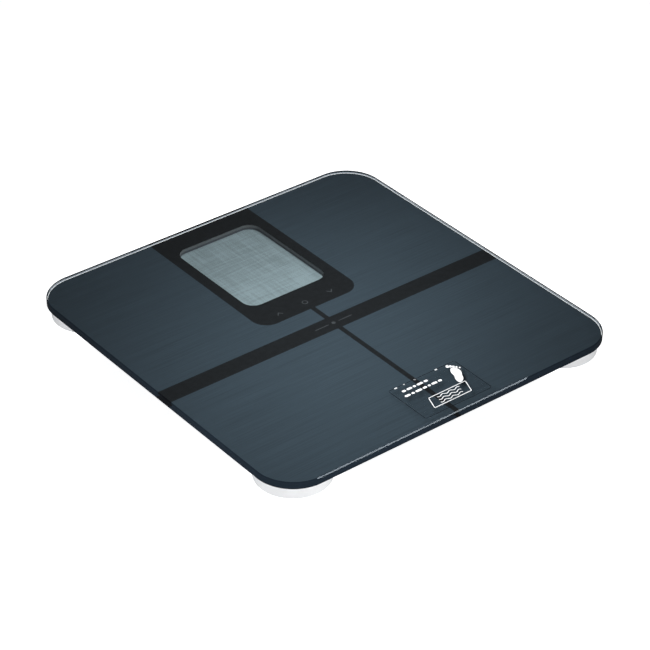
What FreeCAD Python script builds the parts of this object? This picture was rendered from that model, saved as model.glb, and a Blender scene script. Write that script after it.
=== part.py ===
"""Digital bathroom scale: a square glass platform on four sprung feet, with a display in its rear edge.

Frame: the origin is on the floor under the middle of the platform, +Z is up, +Y points to the display
and +X to the right of someone who reads it. All sizes are millimetres.
"""

import FreeCAD, Part

import math
import os
from types import SimpleNamespace

import Sketcher

Vector = FreeCAD.Vector
DOC = FreeCAD.newDocument("bathroom_scale")

# ---------------------------------------------------------------- the driving sizes
# Each row is an alias, its value and what it measures.
DRIVING_SIZES = [
    ("plate_width", 300.0, "glass platform, left to right"),
    ("plate_depth", 300.0, "glass platform, front to back"),
    ("plate_corner", 30.0, "corner radius of the platform"),
    ("overall_height", 21.0, "floor to the top of the glass"),
    ("glass_thickness", 6.0, "tempered glass"),
    ("glass_arris", 0.9, "ground bevel along the glass edges"),
    ("ink_thickness", 0.1, "printed layer under the glass"),
    ("ink_margin", 1.0, "glass edge to the edge of the print"),
    ("band_width", 15.0, "black band across the platform"),
    ("band_gap", 23.8, "middle of the black band to the display panel"),
    ("line_width", 4.0, "black line to the front edge"),
    ("panel_width", 90.0, "black display panel"),
    ("panel_depth", 139.2, "front of the display panel to the rear edge of the platform"),
    ("panel_corner", 13.0, "front corners of the display panel"),
    ("window_width", 72.0, "clear window in the panel"),
    ("window_depth", 93.5, "clear window, front to back"),
    ("window_back_gap", 19.3, "window to the rear edge of the platform"),
    ("window_corner", 10.0, "corner radius of the window"),
    ("key_pitch", 23.6, "middle key to each outer key"),
    ("key_gap", 17.2, "line of the three touch keys to the window"),
    ("key_mark", 4.6, "size of a printed key mark"),
    ("key_line", 0.7, "line width of the key marks"),
    ("badge_width", 33.0, "plain ornament on the band"),
    ("badge_stud", 1.5, "radius of the ornament's middle dot"),
    ("label_width", 60.0, "clear film label on the glass"),
    ("label_depth", 40.0, "film label, front to back"),
    ("label_offset", 4.5, "film label, right of the middle"),
    ("label_front_gap", 6.4, "film label to the front edge"),
    ("label_thickness", 0.06, "film label"),
    ("label_corner", 2.0, "corner radius of the film label"),
    ("foot_inset", 30.0, "foot centre to each platform edge"),
    ("foot_radius", 27.0, "foot housing"),
    ("foot_wall", 1.8, "wall of the foot housing"),
    ("foot_roof", 1.5, "roof of the foot housing"),
    ("foot_reach", 10.0, "glass to the rim of the foot housing"),
    ("foot_rim_round", 0.7, "rounding of the housing's rim"),
    ("foot_tape", 0.5, "adhesive disc over each foot"),
    ("collar_height", 1.4, "snap ring that keeps the foot in"),
    ("collar_grip", 4.2, "how far the ring reaches inwards"),
    ("carrier_gap", 0.4, "foot carrier inside its ring, each side"),
    ("carrier_flange", 2.6, "how far the flange overlaps the ring"),
    ("carrier_round", 0.4, "rounding of the carrier's lower edge"),
    ("flange_height", 1.4, "flange of the foot carrier"),
    ("boss_radius", 4.0, "boss that presses the load cell"),
    ("pad_rim", 2.1, "carrier around the rubber foot pad"),
    ("pad_proud", 1.5, "pad below its carrier"),
    ("pad_seat", 1.2, "depth of the pad's seat"),
    ("pad_hollow", 6.5, "radius of the hollow in the pad's middle"),
    ("pad_hollow_height", 0.5, "depth of the hollow"),
    ("pad_round", 0.6, "rounding of the pad's outer edge"),
    ("foot_travel", 0.7, "free travel of a foot"),
    ("stop_gap", 0.05, "air left at an end stop"),
    ("cell_corner_gap", 1.78, "corners of the load cell to the bore of the housing"),
    ("cell_thickness", 2.0, "load cell plate"),
    ("cell_room", 1.2, "room over the load cell"),
    ("cell_tongue", 12.0, "width of the sensing tongue"),
    ("cell_slot", 3.0, "slot around the tongue"),
    ("cell_corner", 1.5, "corner radius of the load cell"),
    ("gauge_height", 0.9, "potted strain gauge"),
    ("gauge_length", 7.5, "potted strain gauge, inwards from the cell's edge"),
    ("cable_radius", 0.65, "load cell cable"),
    ("cable_air", 0.15, "cable below the print"),
    ("lead_radius", 0.3, "thin leads inside the housing"),
    ("lead_bend", 3.0, "bend of a thin lead"),
    ("lead_landing", 4.0, "board's front edge to the end of a lead"),
    ("duct_width", 5.5, "cable duct"),
    ("duct_height", 3.2, "cable duct"),
    ("duct_wall", 0.9, "wall of the cable duct"),
    ("duct_bend", 14.0, "bend of the front ducts, at the middle line"),
    ("duct_foot_gap", 9.0, "foot housing to the end of its duct"),
    ("duct_housing_gap", 12.0, "electronics housing to the end of a duct"),
    ("cable_bend", 8.0, "easy bend of a cable"),
    ("cable_turn", 4.5, "tight bend of a cable inside the housing"),
    ("cable_lane", 7.0, "side of the housing to the cables inside it"),
    ("front_entry_gap", 40.0, "front cables to the front of the housing"),
    ("rear_entry_gap", 20.0, "rear cables to the back of the housing"),
    ("housing_width", 108.0, "electronics housing"),
    ("housing_depth", 184.0, "electronics housing, front to back"),
    ("housing_back_gap", 10.0, "housing to the rear edge of the platform"),
    ("housing_corner", 8.0, "corner radius of the housing"),
    ("housing_reach", 10.6, "glass to the underside of the housing"),
    ("housing_wall", 1.8, "side walls of the housing"),
    ("housing_floor", 1.3, "floor of the housing"),
    ("housing_edge", 1.0, "rounding along the lower edge"),
    ("gasket_thickness", 0.8, "foam gasket between print and frame"),
    ("frame_thickness", 1.8, "display frame plate"),
    ("frame_margin", 0.3, "frame opening beyond the window, each side"),
    ("lcd_width", 80.0, "display glass"),
    ("lcd_depth", 102.5, "display glass, front to back"),
    ("lcd_ledge", 4.2, "contact ledge in front of the window"),
    ("lcd_thickness", 2.2, "display glass"),
    ("reflector_inset", 1.5, "edge of the display to its reflector"),
    ("zebra_inset", 4.0, "end of the display to the contact strip"),
    ("zebra_width", 2.1, "contact strip, front to back"),
    ("lcd_sink", 4.6, "glass underside to the face of the display"),
    ("reflector_thickness", 0.3, "reflector behind the display"),
    ("bezel_wall", 2.2, "bezel around the display glass"),
    ("bezel_corner", 2.0, "outer corners of the bezel"),
    ("fit_gap", 0.2, "air around a piece that drops in"),
    ("board_width", 88.0, "main circuit board"),
    ("board_lead", 14.0, "main board in front of the line of keys"),
    ("board_depth", 31.0, "main board, front to back"),
    ("board_thickness", 1.0, "both circuit boards"),
    ("board_lift", 0.4, "main board over the housing floor"),
    ("rail_width", 2.0, "rails under the display and the board"),
    ("rail_inset", 3.0, "side of the display or the board to its rail"),
    ("rail_end", 6.0, "end of the display or the board to its rail"),
    ("chip_radius", 4.5, "potted chip"),
    ("chip_height", 1.4, "potted chip"),
    ("chip_round", 0.8, "rounding of the potted chip"),
    ("socket_x", 35.0, "cable socket, sideways from the middle"),
    ("socket_width", 8.0, "cable socket, left to right"),
    ("socket_depth", 20.0, "cable socket, front to back"),
    ("socket_height", 3.5, "cable socket"),
    ("socket_pitch", 12.0, "front cable to rear cable in a socket"),
    ("spring_radius", 3.0, "touch key spring"),
    ("spring_wire", 0.25, "wire radius of the key spring"),
    ("spring_turns", 5.0, "turns of the key spring"),
    ("key_hole_radius", 4.8, "hole in the frame for a key spring"),
    ("screw_inset", 8.0, "cover screws to the housing's sides"),
    ("screw_shank", 1.25, "radius of the screw shank"),
    ("screw_head", 2.5, "radius of the screw head"),
    ("screw_head_height", 1.4, "height of the screw head"),
    ("screw_slot_reach", 1.55, "cross slot, from the middle outwards"),
    ("screw_slot_width", 0.6, "cross slot"),
    ("screw_slot_depth", 0.7, "cross slot"),
    ("screw_tip_gap", 0.5, "tip of the screw to the frame"),
    ("post_radius", 3.4, "screw posts"),
    ("battery_radius", 10.0, "coin cell"),
    ("battery_height", 3.2, "coin cell"),
    ("battery_lip", 0.9, "width of the step around the coin cell's cap"),
    ("battery_step", 0.4, "height of the coin cell's cap"),
    ("battery_gap", 2.5, "air between the two coin cells"),
    ("bay_front_gap", 22.0, "middle of the battery bay to the front of the housing"),
    ("bay_air", 1.7, "air around the cells, each side"),
    ("bay_ledge", 2.0, "ledge around the bay"),
    ("bay_wall", 2.5, "bay wall beyond the ledge"),
    ("bay_corner", 2.0, "corner radius of the bay"),
    ("contact_thickness", 0.3, "battery contact strips"),
    ("contact_room", 0.6, "door to the coin cells"),
    ("contact_width", 12.0, "bay contact, left to right"),
    ("contact_depth", 9.0, "all contacts, front to back"),
    ("contact_bump", 2.0, "radius of the raised spot on a contact"),
    ("bridge_overhang", 4.0, "bridge contact beyond the middle of a cell"),
    ("door_thickness", 1.3, "battery door"),
    ("door_gap", 0.3, "gap around the battery door"),
    ("trunnion_radius", 0.6, "hinge pins of the door"),
    ("trunnion_gap", 0.08, "hinge pin in its hole, each side"),
    ("trunnion_length", 1.4, "hinge pins of the door"),
    ("door_heel", 1.2, "door behind its hinge line"),
    ("tab_width", 12.0, "finger tab of the door"),
    ("tab_reach", 2.6, "finger tab beyond the door"),
    ("grip_pitch", 1.4, "grip grooves of the door"),
    ("grip_width", 0.7, "grip grooves of the door"),
    ("grip_depth", 0.3, "grip grooves of the door"),
    ("button_radius", 4.0, "unit button"),
    ("button_gap", 0.25, "unit button in its hole, each side"),
    ("button_recess", 0.2, "button below the cover's face"),
    ("button_travel", 0.5, "travel of the unit button"),
    ("button_round", 0.3, "rounding of the button's face"),
    ("button_flange", 1.0, "flange of the button beyond its hole"),
    ("button_flange_height", 0.9, "flange of the button"),
    ("switch_side", 6.0, "tact switch, square"),
    ("switch_plunger", 1.7, "radius of the switch plunger"),
    ("plunger_proud", 0.8, "plunger in front of its switch"),
    ("plunger_held", 0.8, "plunger inside its switch"),
    ("switch_board_width", 16.0, "switch board, left to right"),
    ("switch_board_depth", 12.0, "switch board, front to back"),
    ("switch_board_gap", 2.55, "bay wall to the switch board"),
]


class Size:
    """A length that knows its value now and the sheet formula that keeps it true."""

    def __init__(self, value, formula):
        self.value = value
        self.formula = formula

    def __add__(self, other):
        return joined(self, "+", other, lambda a, b: a + b)

    def __sub__(self, other):
        return joined(self, "-", other, lambda a, b: a - b)

    def __mul__(self, other):
        return joined(self, "*", other, lambda a, b: a * b)

    def __truediv__(self, other):
        return joined(self, "/", other, lambda a, b: a / b)

    def __radd__(self, other):
        return as_size(other) + self

    def __rsub__(self, other):
        return as_size(other) - self

    def __rmul__(self, other):
        return as_size(other) * self

    def __neg__(self):
        return self * -1

    def __float__(self):
        return float(self.value)


def as_size(length):
    """A plain number as a Size, so that both can stand in one formula."""
    if isinstance(length, Size):
        return length
    return Size(float(length), f"({float(length)})")


def joined(first, sign, second, work):
    """Two sizes joined by one sign, in value and in formula alike."""
    first = as_size(first)
    second = as_size(second)
    value = work(first.value, second.value)
    return Size(value, f"({first.formula} {sign} {second.formula})")


def write_sheet():
    """Fill the spreadsheet and return its cells as Sizes, by alias."""
    sheet = DOC.addObject("Spreadsheet::Sheet", "Sizes")
    sizes = SimpleNamespace()
    for row, (alias, value, note) in enumerate(DRIVING_SIZES, start=1):
        sheet.set(f"A{row}", alias)
        sheet.set(f"B{row}", str(value))
        sheet.set(f"C{row}", note)
        sheet.setAlias(f"B{row}", alias)
        setattr(sizes, alias, Size(value, f"Sizes.{alias}"))
    DOC.recompute()
    return sizes


S = write_sheet()

# ---------------------------------------------------------------- heights and places that follow
GLASS_UNDER = S.overall_height - S.glass_thickness
INK_UNDER = GLASS_UNDER - S.ink_thickness
FOOT_ROOF = INK_UNDER - S.foot_tape
FOOT_CEILING = FOOT_ROOF - S.foot_roof
FOOT_RIM = GLASS_UNDER - S.foot_reach
FOOT_BORE = S.foot_radius - S.foot_wall
COLLAR_BORE = FOOT_BORE - S.collar_grip
COLLAR_TOP = FOOT_RIM + S.collar_height
PAD_RADIUS = COLLAR_BORE - S.carrier_gap - S.pad_rim
DIAGONAL = math.sqrt(2)
CELL_SIDE = (FOOT_BORE - S.cell_corner_gap + S.cell_corner * (DIAGONAL - 1)) * DIAGONAL
CELL_ROOT = CELL_SIDE / 4
LEDGE_WIDTH = CELL_ROOT
LEDGE_SHARE = 0.8
LEDGE_LENGTH = CELL_SIDE * LEDGE_SHARE
POST_PITCH = CELL_SIDE / 2
CELL_TOP = FOOT_CEILING - S.cell_room
CELL_UNDER = CELL_TOP - S.cell_thickness
FOOT_X = S.plate_width / 2 - S.foot_inset
FOOT_Y = S.plate_depth / 2 - S.foot_inset
DUCT_CABLE_Z = INK_UNDER - S.cable_air - S.cable_radius

CABLE_SLOT = S.cable_radius + S.cable_air

FRAME_TOP = INK_UNDER - S.gasket_thickness
FRAME_UNDER = FRAME_TOP - S.frame_thickness
COVER_UNDER = GLASS_UNDER - S.housing_reach
COVER_FLOOR = COVER_UNDER + S.housing_floor
COVER_TOP = FRAME_UNDER - S.stop_gap
HOUSING_HALF = S.housing_width / 2
HOUSING_BACK = S.plate_depth / 2 - S.housing_back_gap
HOUSING_FRONT = HOUSING_BACK - S.housing_depth
PANEL_FRONT = S.plate_depth / 2 - S.panel_depth
BAND_CENTRE = PANEL_FRONT - S.band_gap
WINDOW_FRONT = S.plate_depth / 2 - S.window_back_gap - S.window_depth
WINDOW_MIDDLE = WINDOW_FRONT + S.window_depth / 2
KEY_ROW = WINDOW_FRONT - S.key_gap
FRONT_ENTRY = HOUSING_FRONT + S.front_entry_gap

LCD_FACE = GLASS_UNDER - S.lcd_sink
LCD_UNDER = LCD_FACE - S.lcd_thickness
LCD_FRONT = WINDOW_FRONT - S.lcd_ledge
LCD_MIDDLE = LCD_FRONT + S.lcd_depth / 2
REFLECTOR_UNDER = LCD_UNDER - S.reflector_thickness
BOARD_FRONT = KEY_ROW - S.board_lead
BOARD_UNDER = COVER_FLOOR + S.board_lift
BOARD_TOP = BOARD_UNDER + S.board_thickness

BAY_CENTRE = HOUSING_FRONT + S.bay_front_gap
BAY_HALF_X = S.battery_radius * 2 + S.battery_gap / 2 + S.bay_air
BAY_HALF_Y = S.battery_radius + S.bay_air
RECESS_HALF_X = BAY_HALF_X + S.bay_ledge
RECESS_HALF_Y = BAY_HALF_Y + S.bay_ledge
BUTTON_X = RECESS_HALF_X + S.bay_wall + S.switch_board_gap + S.switch_board_width / 2
DOOR_RECESS_TOP = COVER_UNDER + S.door_thickness + S.fit_gap
CELLS_UNDER = COVER_UNDER + S.door_thickness + S.contact_room + S.contact_thickness
CELLS_TOP = CELLS_UNDER + S.battery_height
BAY_CEILING = CELLS_TOP + S.contact_thickness + S.fit_gap
HINGE_Y = BAY_CENTRE + RECESS_HALF_Y - S.door_gap - S.door_heel
HINGE_Z = COVER_UNDER + S.door_heel

NODES = []


# ---------------------------------------------------------------- drawing helpers
def bind(thing, name, length):
    """Tie one property of an object to its formula on the sheet."""
    thing.setExpression(name, as_size(length).formula)


def keep(thing, node):
    """Mark a finished object as a piece of the scale and give it its name."""
    thing.Label = node
    NODES.append(thing)
    return thing


def new_body(name, x=0, y=0, turn=0):
    """A body at (x, y) on the floor, turned about the vertical by `turn` degrees."""
    body = DOC.addObject("PartDesign::Body", name)
    body.Placement.Rotation = FreeCAD.Rotation(Vector(0, 0, 1), turn)
    bind(body, "Placement.Base.x", x)
    bind(body, "Placement.Base.y", y)
    return body


def new_sketch(body, plane_role, lift=0):
    """An empty sketch on one of the body's own origin planes, lifted along the plane's normal."""
    plane = next(feature for feature in body.Origin.OriginFeatures if feature.Role == plane_role)
    sketch = body.newObject("Sketcher::SketchObject", body.Name + "_sketch")
    sketch.AttachmentSupport = [(plane, "")]
    sketch.MapMode = "FlatFace"
    bind(sketch, "AttachmentOffset.Base.z", lift)
    return sketch


def place_point(sketch, geometry, end, x, y):
    """Dimension one point of the sketch from the origin."""
    for kind, length in (("DistanceX", x), ("DistanceY", y)):
        index = sketch.addConstraint(
            Sketcher.Constraint(kind, -1, 1, geometry, end, as_size(length).value)
        )
        bind(sketch, f"Constraints[{index}]", length)


def step_towards(start, end):
    """The unit step from one corner towards the next, along X or along Y."""
    run = as_size(end[0]).value - as_size(start[0]).value
    rise = as_size(end[1]).value - as_size(start[1]).value
    if abs(run) > abs(rise):
        return int(math.copysign(1, run)), 0
    return 0, int(math.copysign(1, rise))


def draw_outline(sketch, corners):
    """Draw a closed outline through its corners, given in order as (x, y) or (x, y, radius).

    A corner with a radius stands between a side along X and a side along Y, and is rounded there.
    """
    ends = []
    for index, corner in enumerate(corners):
        if len(corner) == 2:
            ends.append((corner[0], corner[1], None))
            continue
        x, y, radius = corner
        step_in = step_towards(corners[index - 1], corner)
        step_out = step_towards(corner, corners[(index + 1) % len(corners)])
        clockwise = step_in[0] * step_out[1] - step_in[1] * step_out[0] < 0
        start = (x - radius * step_in[0], y - radius * step_in[1])
        centre = (start[0] + radius * step_out[0], start[1] + radius * step_out[1])
        ends.append((*start, (centre, radius, clockwise)))
        ends.append((x + radius * step_out[0], y + radius * step_out[1], None))
    starts = []
    for index, (x, y, arc) in enumerate(ends):
        here = Vector(float(x), float(y), 0)
        following = ends[(index + 1) % len(ends)]
        there = Vector(float(following[0]), float(following[1]), 0)
        if arc is None:
            sketch.addGeometry(Part.LineSegment(here, there), False)
            starts.append(1)
            continue
        centre, radius, clockwise = arc
        middle = Vector(float(centre[0]), float(centre[1]), 0)
        first, last = (there, here) if clockwise else (here, there)
        angles = [math.atan2(point.y - middle.y, point.x - middle.x) for point in (first, last)]
        circle = Part.Circle(middle, Vector(0, 0, 1), float(radius))
        sketch.addGeometry(Part.ArcOfCircle(circle, *angles), False)
        starts.append(2 if clockwise else 1)
    for index, start in enumerate(starts):
        following = (index + 1) % len(starts)
        sketch.addConstraint(
            Sketcher.Constraint("Coincident", index, 3 - start, following, starts[following])
        )
    for index, (x, y, arc) in enumerate(ends):
        place_point(sketch, index, starts[index], x, y)
        if arc is not None:
            number = sketch.addConstraint(Sketcher.Constraint("Radius", index, float(arc[1])))
            bind(sketch, f"Constraints[{number}]", arc[1])


def draw_circle(sketch, x, y, radius):
    """Add one dimensioned circle to a sketch."""
    centre = Vector(float(x), float(y), 0)
    circle = Part.Circle(centre, Vector(0, 0, 1), float(radius))
    index = sketch.addGeometry(circle, False)
    place_point(sketch, index, 3, x, y)
    number = sketch.addConstraint(Sketcher.Constraint("Radius", index, float(radius)))
    bind(sketch, f"Constraints[{number}]", radius)


def box_corners(x, y, half_x, half_y, radius=None):
    """The four corners of an upright rectangle, rounded if it has a radius."""
    ends = [(-1, -1), (1, -1), (1, 1), (-1, 1)]
    rounding = () if radius is None else (radius,)
    return [(x + half_x * right, y + half_y * back, *rounding) for right, back in ends]


def add_feature(body, kind, sketch, name):
    """Add a sketch-based feature to a body."""
    feature = body.newObject("PartDesign::" + kind, f"{body.Name}_{name}")
    feature.Profile = sketch
    return feature


def raise_outline(body, corners, low, high, name="plate"):
    """Pad an outline from one height up to another."""
    sketch = new_sketch(body, "XY_Plane", low)
    draw_outline(sketch, corners)
    pad = add_feature(body, "Pad", sketch, name)
    bind(pad, "Length", as_size(high) - low)
    return pad


def cut_upwards(body, sketch, depth, name):
    """Cut a sketch upwards into the body and prove that something was cut."""
    DOC.recompute()
    before = body.Shape.Volume
    pocket = add_feature(body, "Pocket", sketch, name)
    pocket.Reversed = True
    bind(pocket, "Length", depth)
    DOC.recompute()
    if not body.Shape.Volume < before:
        raise RuntimeError(f"{pocket.Name} cut nothing")
    return pocket


def cut_outline(body, corners, low, high, name):
    """Cut an outline out of a body, from one height up to another."""
    sketch = new_sketch(body, "XY_Plane", low)
    draw_outline(sketch, corners)
    return cut_upwards(body, sketch, as_size(high) - low, name)


def cut_holes(body, places, radius, low, high, name):
    """Cut equal round holes at the places (x, y), from one height up to another."""
    sketch = new_sketch(body, "XY_Plane", low)
    for x, y in places:
        draw_circle(sketch, x, y, radius)
    return cut_upwards(body, sketch, as_size(high) - low, name)


def raise_posts(body, places, radius, low, high, name):
    """Pad equal round posts at the places (x, y), from one height up to another."""
    sketch = new_sketch(body, "XY_Plane", low)
    for x, y in places:
        draw_circle(sketch, x, y, radius)
    pad = add_feature(body, "Pad", sketch, name)
    bind(pad, "Length", as_size(high) - low)
    return pad


def turn_profile(body, corners, name="turned"):
    """Revolve a profile of (radius, height) corners about the body's vertical axis."""
    sketch = new_sketch(body, "XZ_Plane")
    draw_outline(sketch, corners)
    turned = add_feature(body, "Revolution", sketch, name)
    turned.ReferenceAxis = (sketch, ["V_Axis"])
    turned.Angle = 360
    return turned


def flat_piece(node, corners, low, high):
    """A piece that is one outline of even thickness."""
    body = new_body(node)
    raise_outline(body, corners, low, high)
    return keep(body, node)


def box_piece(node, x, y, half_x, half_y, low, high, radius=None):
    """A piece that is one upright block."""
    return flat_piece(node, box_corners(x, y, half_x, half_y, radius), low, high)


def boolean(kind, name, base, tool):
    """A Part boolean of two objects."""
    result = DOC.addObject("Part::" + kind, name)
    result.Base = base
    result.Tool = tool
    return result


def group(node, members):
    """One node of several equal or related solids that stay separate."""
    compound = DOC.addObject("Part::Compound", node)
    compound.Links = members
    return keep(compound, node)


def dress_edges(body, kind, size_name, size, wanted, name):
    """Fillet or chamfer the edges of the body's tip that `wanted` accepts."""
    DOC.recompute()
    tip = body.Tip
    chosen = [f"Edge{i}" for i, edge in enumerate(tip.Shape.Edges, start=1) if wanted(edge)]
    if not chosen:
        raise RuntimeError(f"{body.Name} has no edge for {name}")
    feature = body.newObject("PartDesign::" + kind, f"{body.Name}_{name}")
    feature.Base = (tip, chosen)
    bind(feature, size_name, size)
    return feature


SAME_LEVEL = 1e-4


def lies_at(height):
    """A test for edges that lie flat at one height."""
    level = float(height)
    return lambda edge: max(abs(edge.BoundBox.ZMin - level), abs(edge.BoundBox.ZMax - level)) < SAME_LEVEL


# ---------------------------------------------------------------- platform and print
def make_platform():
    """The glass, ground to a narrow bevel along both faces."""
    body = new_body("glass_platform")
    corners = box_corners(0, 0, S.plate_width / 2, S.plate_depth / 2, S.plate_corner)
    raise_outline(body, corners, GLASS_UNDER, S.overall_height)
    top = lies_at(S.overall_height)
    under = lies_at(GLASS_UNDER)
    dress_edges(body, "Chamfer", "Size", S.glass_arris, lambda edge: top(edge) or under(edge), "arris")
    keep(body, "glass_platform")


def black_corners():
    """The outline of the black print: panel, band and front line in one shape."""
    side = S.plate_width / 2 - S.ink_margin
    back = S.plate_depth / 2 - S.ink_margin
    line = S.line_width / 2
    band_front = BAND_CENTRE - S.band_width / 2
    band_back = BAND_CENTRE + S.band_width / 2
    panel = S.panel_width / 2
    right = [
        (line, -back),
        (line, band_front),
        (side, band_front),
        (side, band_back),
        (line, band_back),
        (line, PANEL_FRONT),
        (panel, PANEL_FRONT, S.panel_corner),
        (panel, back),
    ]
    left = [(-corner[0], *corner[1:]) for corner in reversed(right)]
    return right + left


def window_corners(margin=0):
    """The window's outline, opened by a margin on every side."""
    half_x = S.window_width / 2 + margin
    half_y = S.window_depth / 2 + margin
    return box_corners(0, WINDOW_MIDDLE, half_x, half_y, S.window_corner + margin)


# Rise of an arrow head from its middle line to its tip, as a share of its half width.
ARROW_RISE = 0.6


def make_key_marks():
    """Printed marks: an arrow head each way, a ring between them and a plain ornament on the band."""
    marks = []
    half = S.key_mark / 2
    for name, x, way in (("up", -S.key_pitch, 1), ("down", S.key_pitch, -1)):
        body = new_body("mark_" + name)
        rise = half * (ARROW_RISE * way)
        tip = KEY_ROW + rise
        foot = KEY_ROW - rise
        arm = S.key_line * (math.hypot(1, ARROW_RISE * 2) * way)
        corners = [(x - half, foot), (x, tip), (x + half, foot), (x + half, foot - arm)]
        corners += [(x, tip - arm), (x - half, foot - arm)]
        raise_outline(body, corners, INK_UNDER, GLASS_UNDER)
        marks.append(body)
    ring = new_body("mark_ring")
    raise_posts(ring, [(0, KEY_ROW)], half, INK_UNDER, GLASS_UNDER, "disc")
    cut_holes(ring, [(0, KEY_ROW)], half - S.key_line, INK_UNDER, GLASS_UNDER, "eye")
    marks.append(ring)
    for name, side in (("left", -1), ("right", 1)):
        body = new_body("mark_bar_" + name)
        bar = (S.badge_width / 2 - S.badge_stud * 3) / 2
        x = (S.badge_width / 2 - bar) * side
        corners = box_corners(x, BAND_CENTRE, bar, S.key_line / 2)
        raise_outline(body, corners, INK_UNDER, GLASS_UNDER)
        marks.append(body)
    dot = new_body("mark_dot")
    raise_posts(dot, [(0, BAND_CENTRE)], S.badge_stud, INK_UNDER, GLASS_UNDER, "disc")
    marks.append(dot)
    return group("grey_ink_marks", marks)


def make_print():
    """The opaque inks under the glass: slate field, black pattern and grey marks."""
    marks = make_key_marks()
    filled = new_body("black_filled")
    raise_outline(filled, black_corners(), INK_UNDER, GLASS_UNDER)
    field = new_body("print_field")
    half_x = S.plate_width / 2 - S.ink_margin
    half_y = S.plate_depth / 2 - S.ink_margin
    corners = box_corners(0, 0, half_x, half_y, S.plate_corner - S.ink_margin)
    raise_outline(field, corners, INK_UNDER, GLASS_UNDER)
    keep(boolean("Cut", "slate_ink", field, filled), "slate_ink")
    window = new_body("window_hole")
    raise_outline(window, window_corners(), INK_UNDER, GLASS_UNDER)
    open_black = boolean("Cut", "black_with_window", filled, window)
    keep(boolean("Cut", "black_ink", open_black, marks), "black_ink")


def make_film_label():
    """The clear film stuck on the glass near the front edge."""
    half_x = S.label_width / 2
    half_y = S.label_depth / 2
    middle = -S.plate_depth / 2 + S.label_front_gap + half_y
    top = S.overall_height + S.label_thickness
    at = (S.label_offset, middle)
    box_piece("film_label", *at, half_x, half_y, S.overall_height, top, S.label_corner)


# ---------------------------------------------------------------- feet
# Each foot: name, side (+1 right), end (+1 rear) and the turn that points its cable at the housing.
FEET = [
    ("rear_left", -1, 1, -90),
    ("rear_right", 1, 1, 90),
    ("front_left", -1, -1, 0),
    ("front_right", 1, -1, 0),
]
CELL_POST = CELL_SIDE / 2 + S.fit_gap


def make_foot_housing(name, x, y, turn):
    """The white cup under a corner, with ledges and posts that hold the load cell."""
    body = new_body("foot_housing_" + name, x, y, turn)
    profile = [
        (0, FOOT_ROOF),
        (0, FOOT_CEILING),
        (FOOT_BORE, FOOT_CEILING),
        (FOOT_BORE, FOOT_RIM),
        (S.foot_radius, FOOT_RIM, S.foot_rim_round),
        (S.foot_radius, FOOT_ROOF),
    ]
    turn_profile(body, profile)
    ledge_x = (CELL_SIDE - LEDGE_WIDTH) / 2
    for side in (-1, 1):
        corners = box_corners(ledge_x * side, 0, LEDGE_WIDTH / 2, LEDGE_LENGTH / 2)
        raise_outline(body, corners, CELL_TOP, FOOT_CEILING, f"ledge_{side + 1}")
    post = S.foot_wall
    out = CELL_POST + post
    along = POST_PITCH / 2
    places = [(out * side, along * end) for side in (-1, 1) for end in (-1, 1)]
    places += [(along * side, -out) for side in (-1, 1)]
    raise_posts(body, places, post, CELL_UNDER, FOOT_CEILING, "posts")
    notch_low = FOOT_CEILING - CABLE_SLOT * 2
    notch = box_corners(0, S.foot_radius, CABLE_SLOT, S.foot_wall + CABLE_SLOT)
    cut_outline(body, notch, notch_low, FOOT_CEILING, "cable_notch")
    keep(body, "foot_housing_" + name)


def make_foot_collar(name, x, y):
    """The snap ring in the rim, which keeps the foot from dropping out."""
    body = new_body("foot_collar_" + name, x, y)
    profile = [
        (COLLAR_BORE, FOOT_RIM + S.fit_gap),
        (FOOT_BORE - S.stop_gap, FOOT_RIM + S.fit_gap),
        (FOOT_BORE - S.stop_gap, COLLAR_TOP),
        (COLLAR_BORE, COLLAR_TOP),
    ]
    turn_profile(body, profile)
    keep(body, "foot_collar_" + name)


def make_load_cell(name, x, y, turn):
    """The square steel plate whose middle tongue bends under load."""
    body = new_body("load_cell_" + name, x, y, turn)
    half = CELL_SIDE / 2
    raise_outline(body, box_corners(0, 0, half, half, S.cell_corner), CELL_UNDER, CELL_TOP)
    tongue = S.cell_tongue / 2
    outer = tongue + S.cell_slot
    front = -half + S.cell_slot * 2
    back = CELL_ROOT
    corners = [
        (-outer, front),
        (outer, front),
        (outer, back),
        (tongue, back),
        (tongue, front + S.cell_slot),
        (-tongue, front + S.cell_slot),
        (-tongue, back),
        (-outer, back),
    ]
    cut_outline(body, corners, CELL_UNDER, CELL_TOP, "tongue_slot")
    keep(body, "load_cell_" + name)


def make_gauge(name, x, y, turn):
    """The potted strain gauge at the root of the tongue. The cable starts in its outer end."""
    body = new_body("gauge_" + name, x, y, turn)
    middle = (CELL_SIDE - S.gauge_length) / 2
    corners = box_corners(0, middle, S.cell_tongue / 2, S.gauge_length / 2)
    raise_outline(body, corners, CELL_TOP, CELL_TOP + S.gauge_height)
    return body


def make_foot_carrier(name, x, y):
    """The floating disc of the foot: flange, rim, boss and a seat for the rubber pad."""
    body = new_body("foot_carrier_" + name, x, y)
    rim = COLLAR_BORE - S.carrier_gap
    flange_low = COLLAR_TOP + S.stop_gap
    flange_top = flange_low + S.flange_height
    boss_top = CELL_UNDER - S.foot_travel - S.stop_gap
    profile = [
        (0, boss_top),
        (0, S.pad_proud + S.pad_seat),
        (PAD_RADIUS + S.stop_gap, S.pad_proud + S.pad_seat),
        (PAD_RADIUS + S.stop_gap, S.pad_proud),
        (rim, S.pad_proud, S.carrier_round),
        (rim, flange_low),
        (COLLAR_BORE + S.carrier_flange, flange_low),
        (COLLAR_BORE + S.carrier_flange, flange_top),
        (S.boss_radius, flange_top),
        (S.boss_radius, boss_top),
    ]
    turn_profile(body, profile)
    keep(body, "foot_carrier_" + name)


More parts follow.
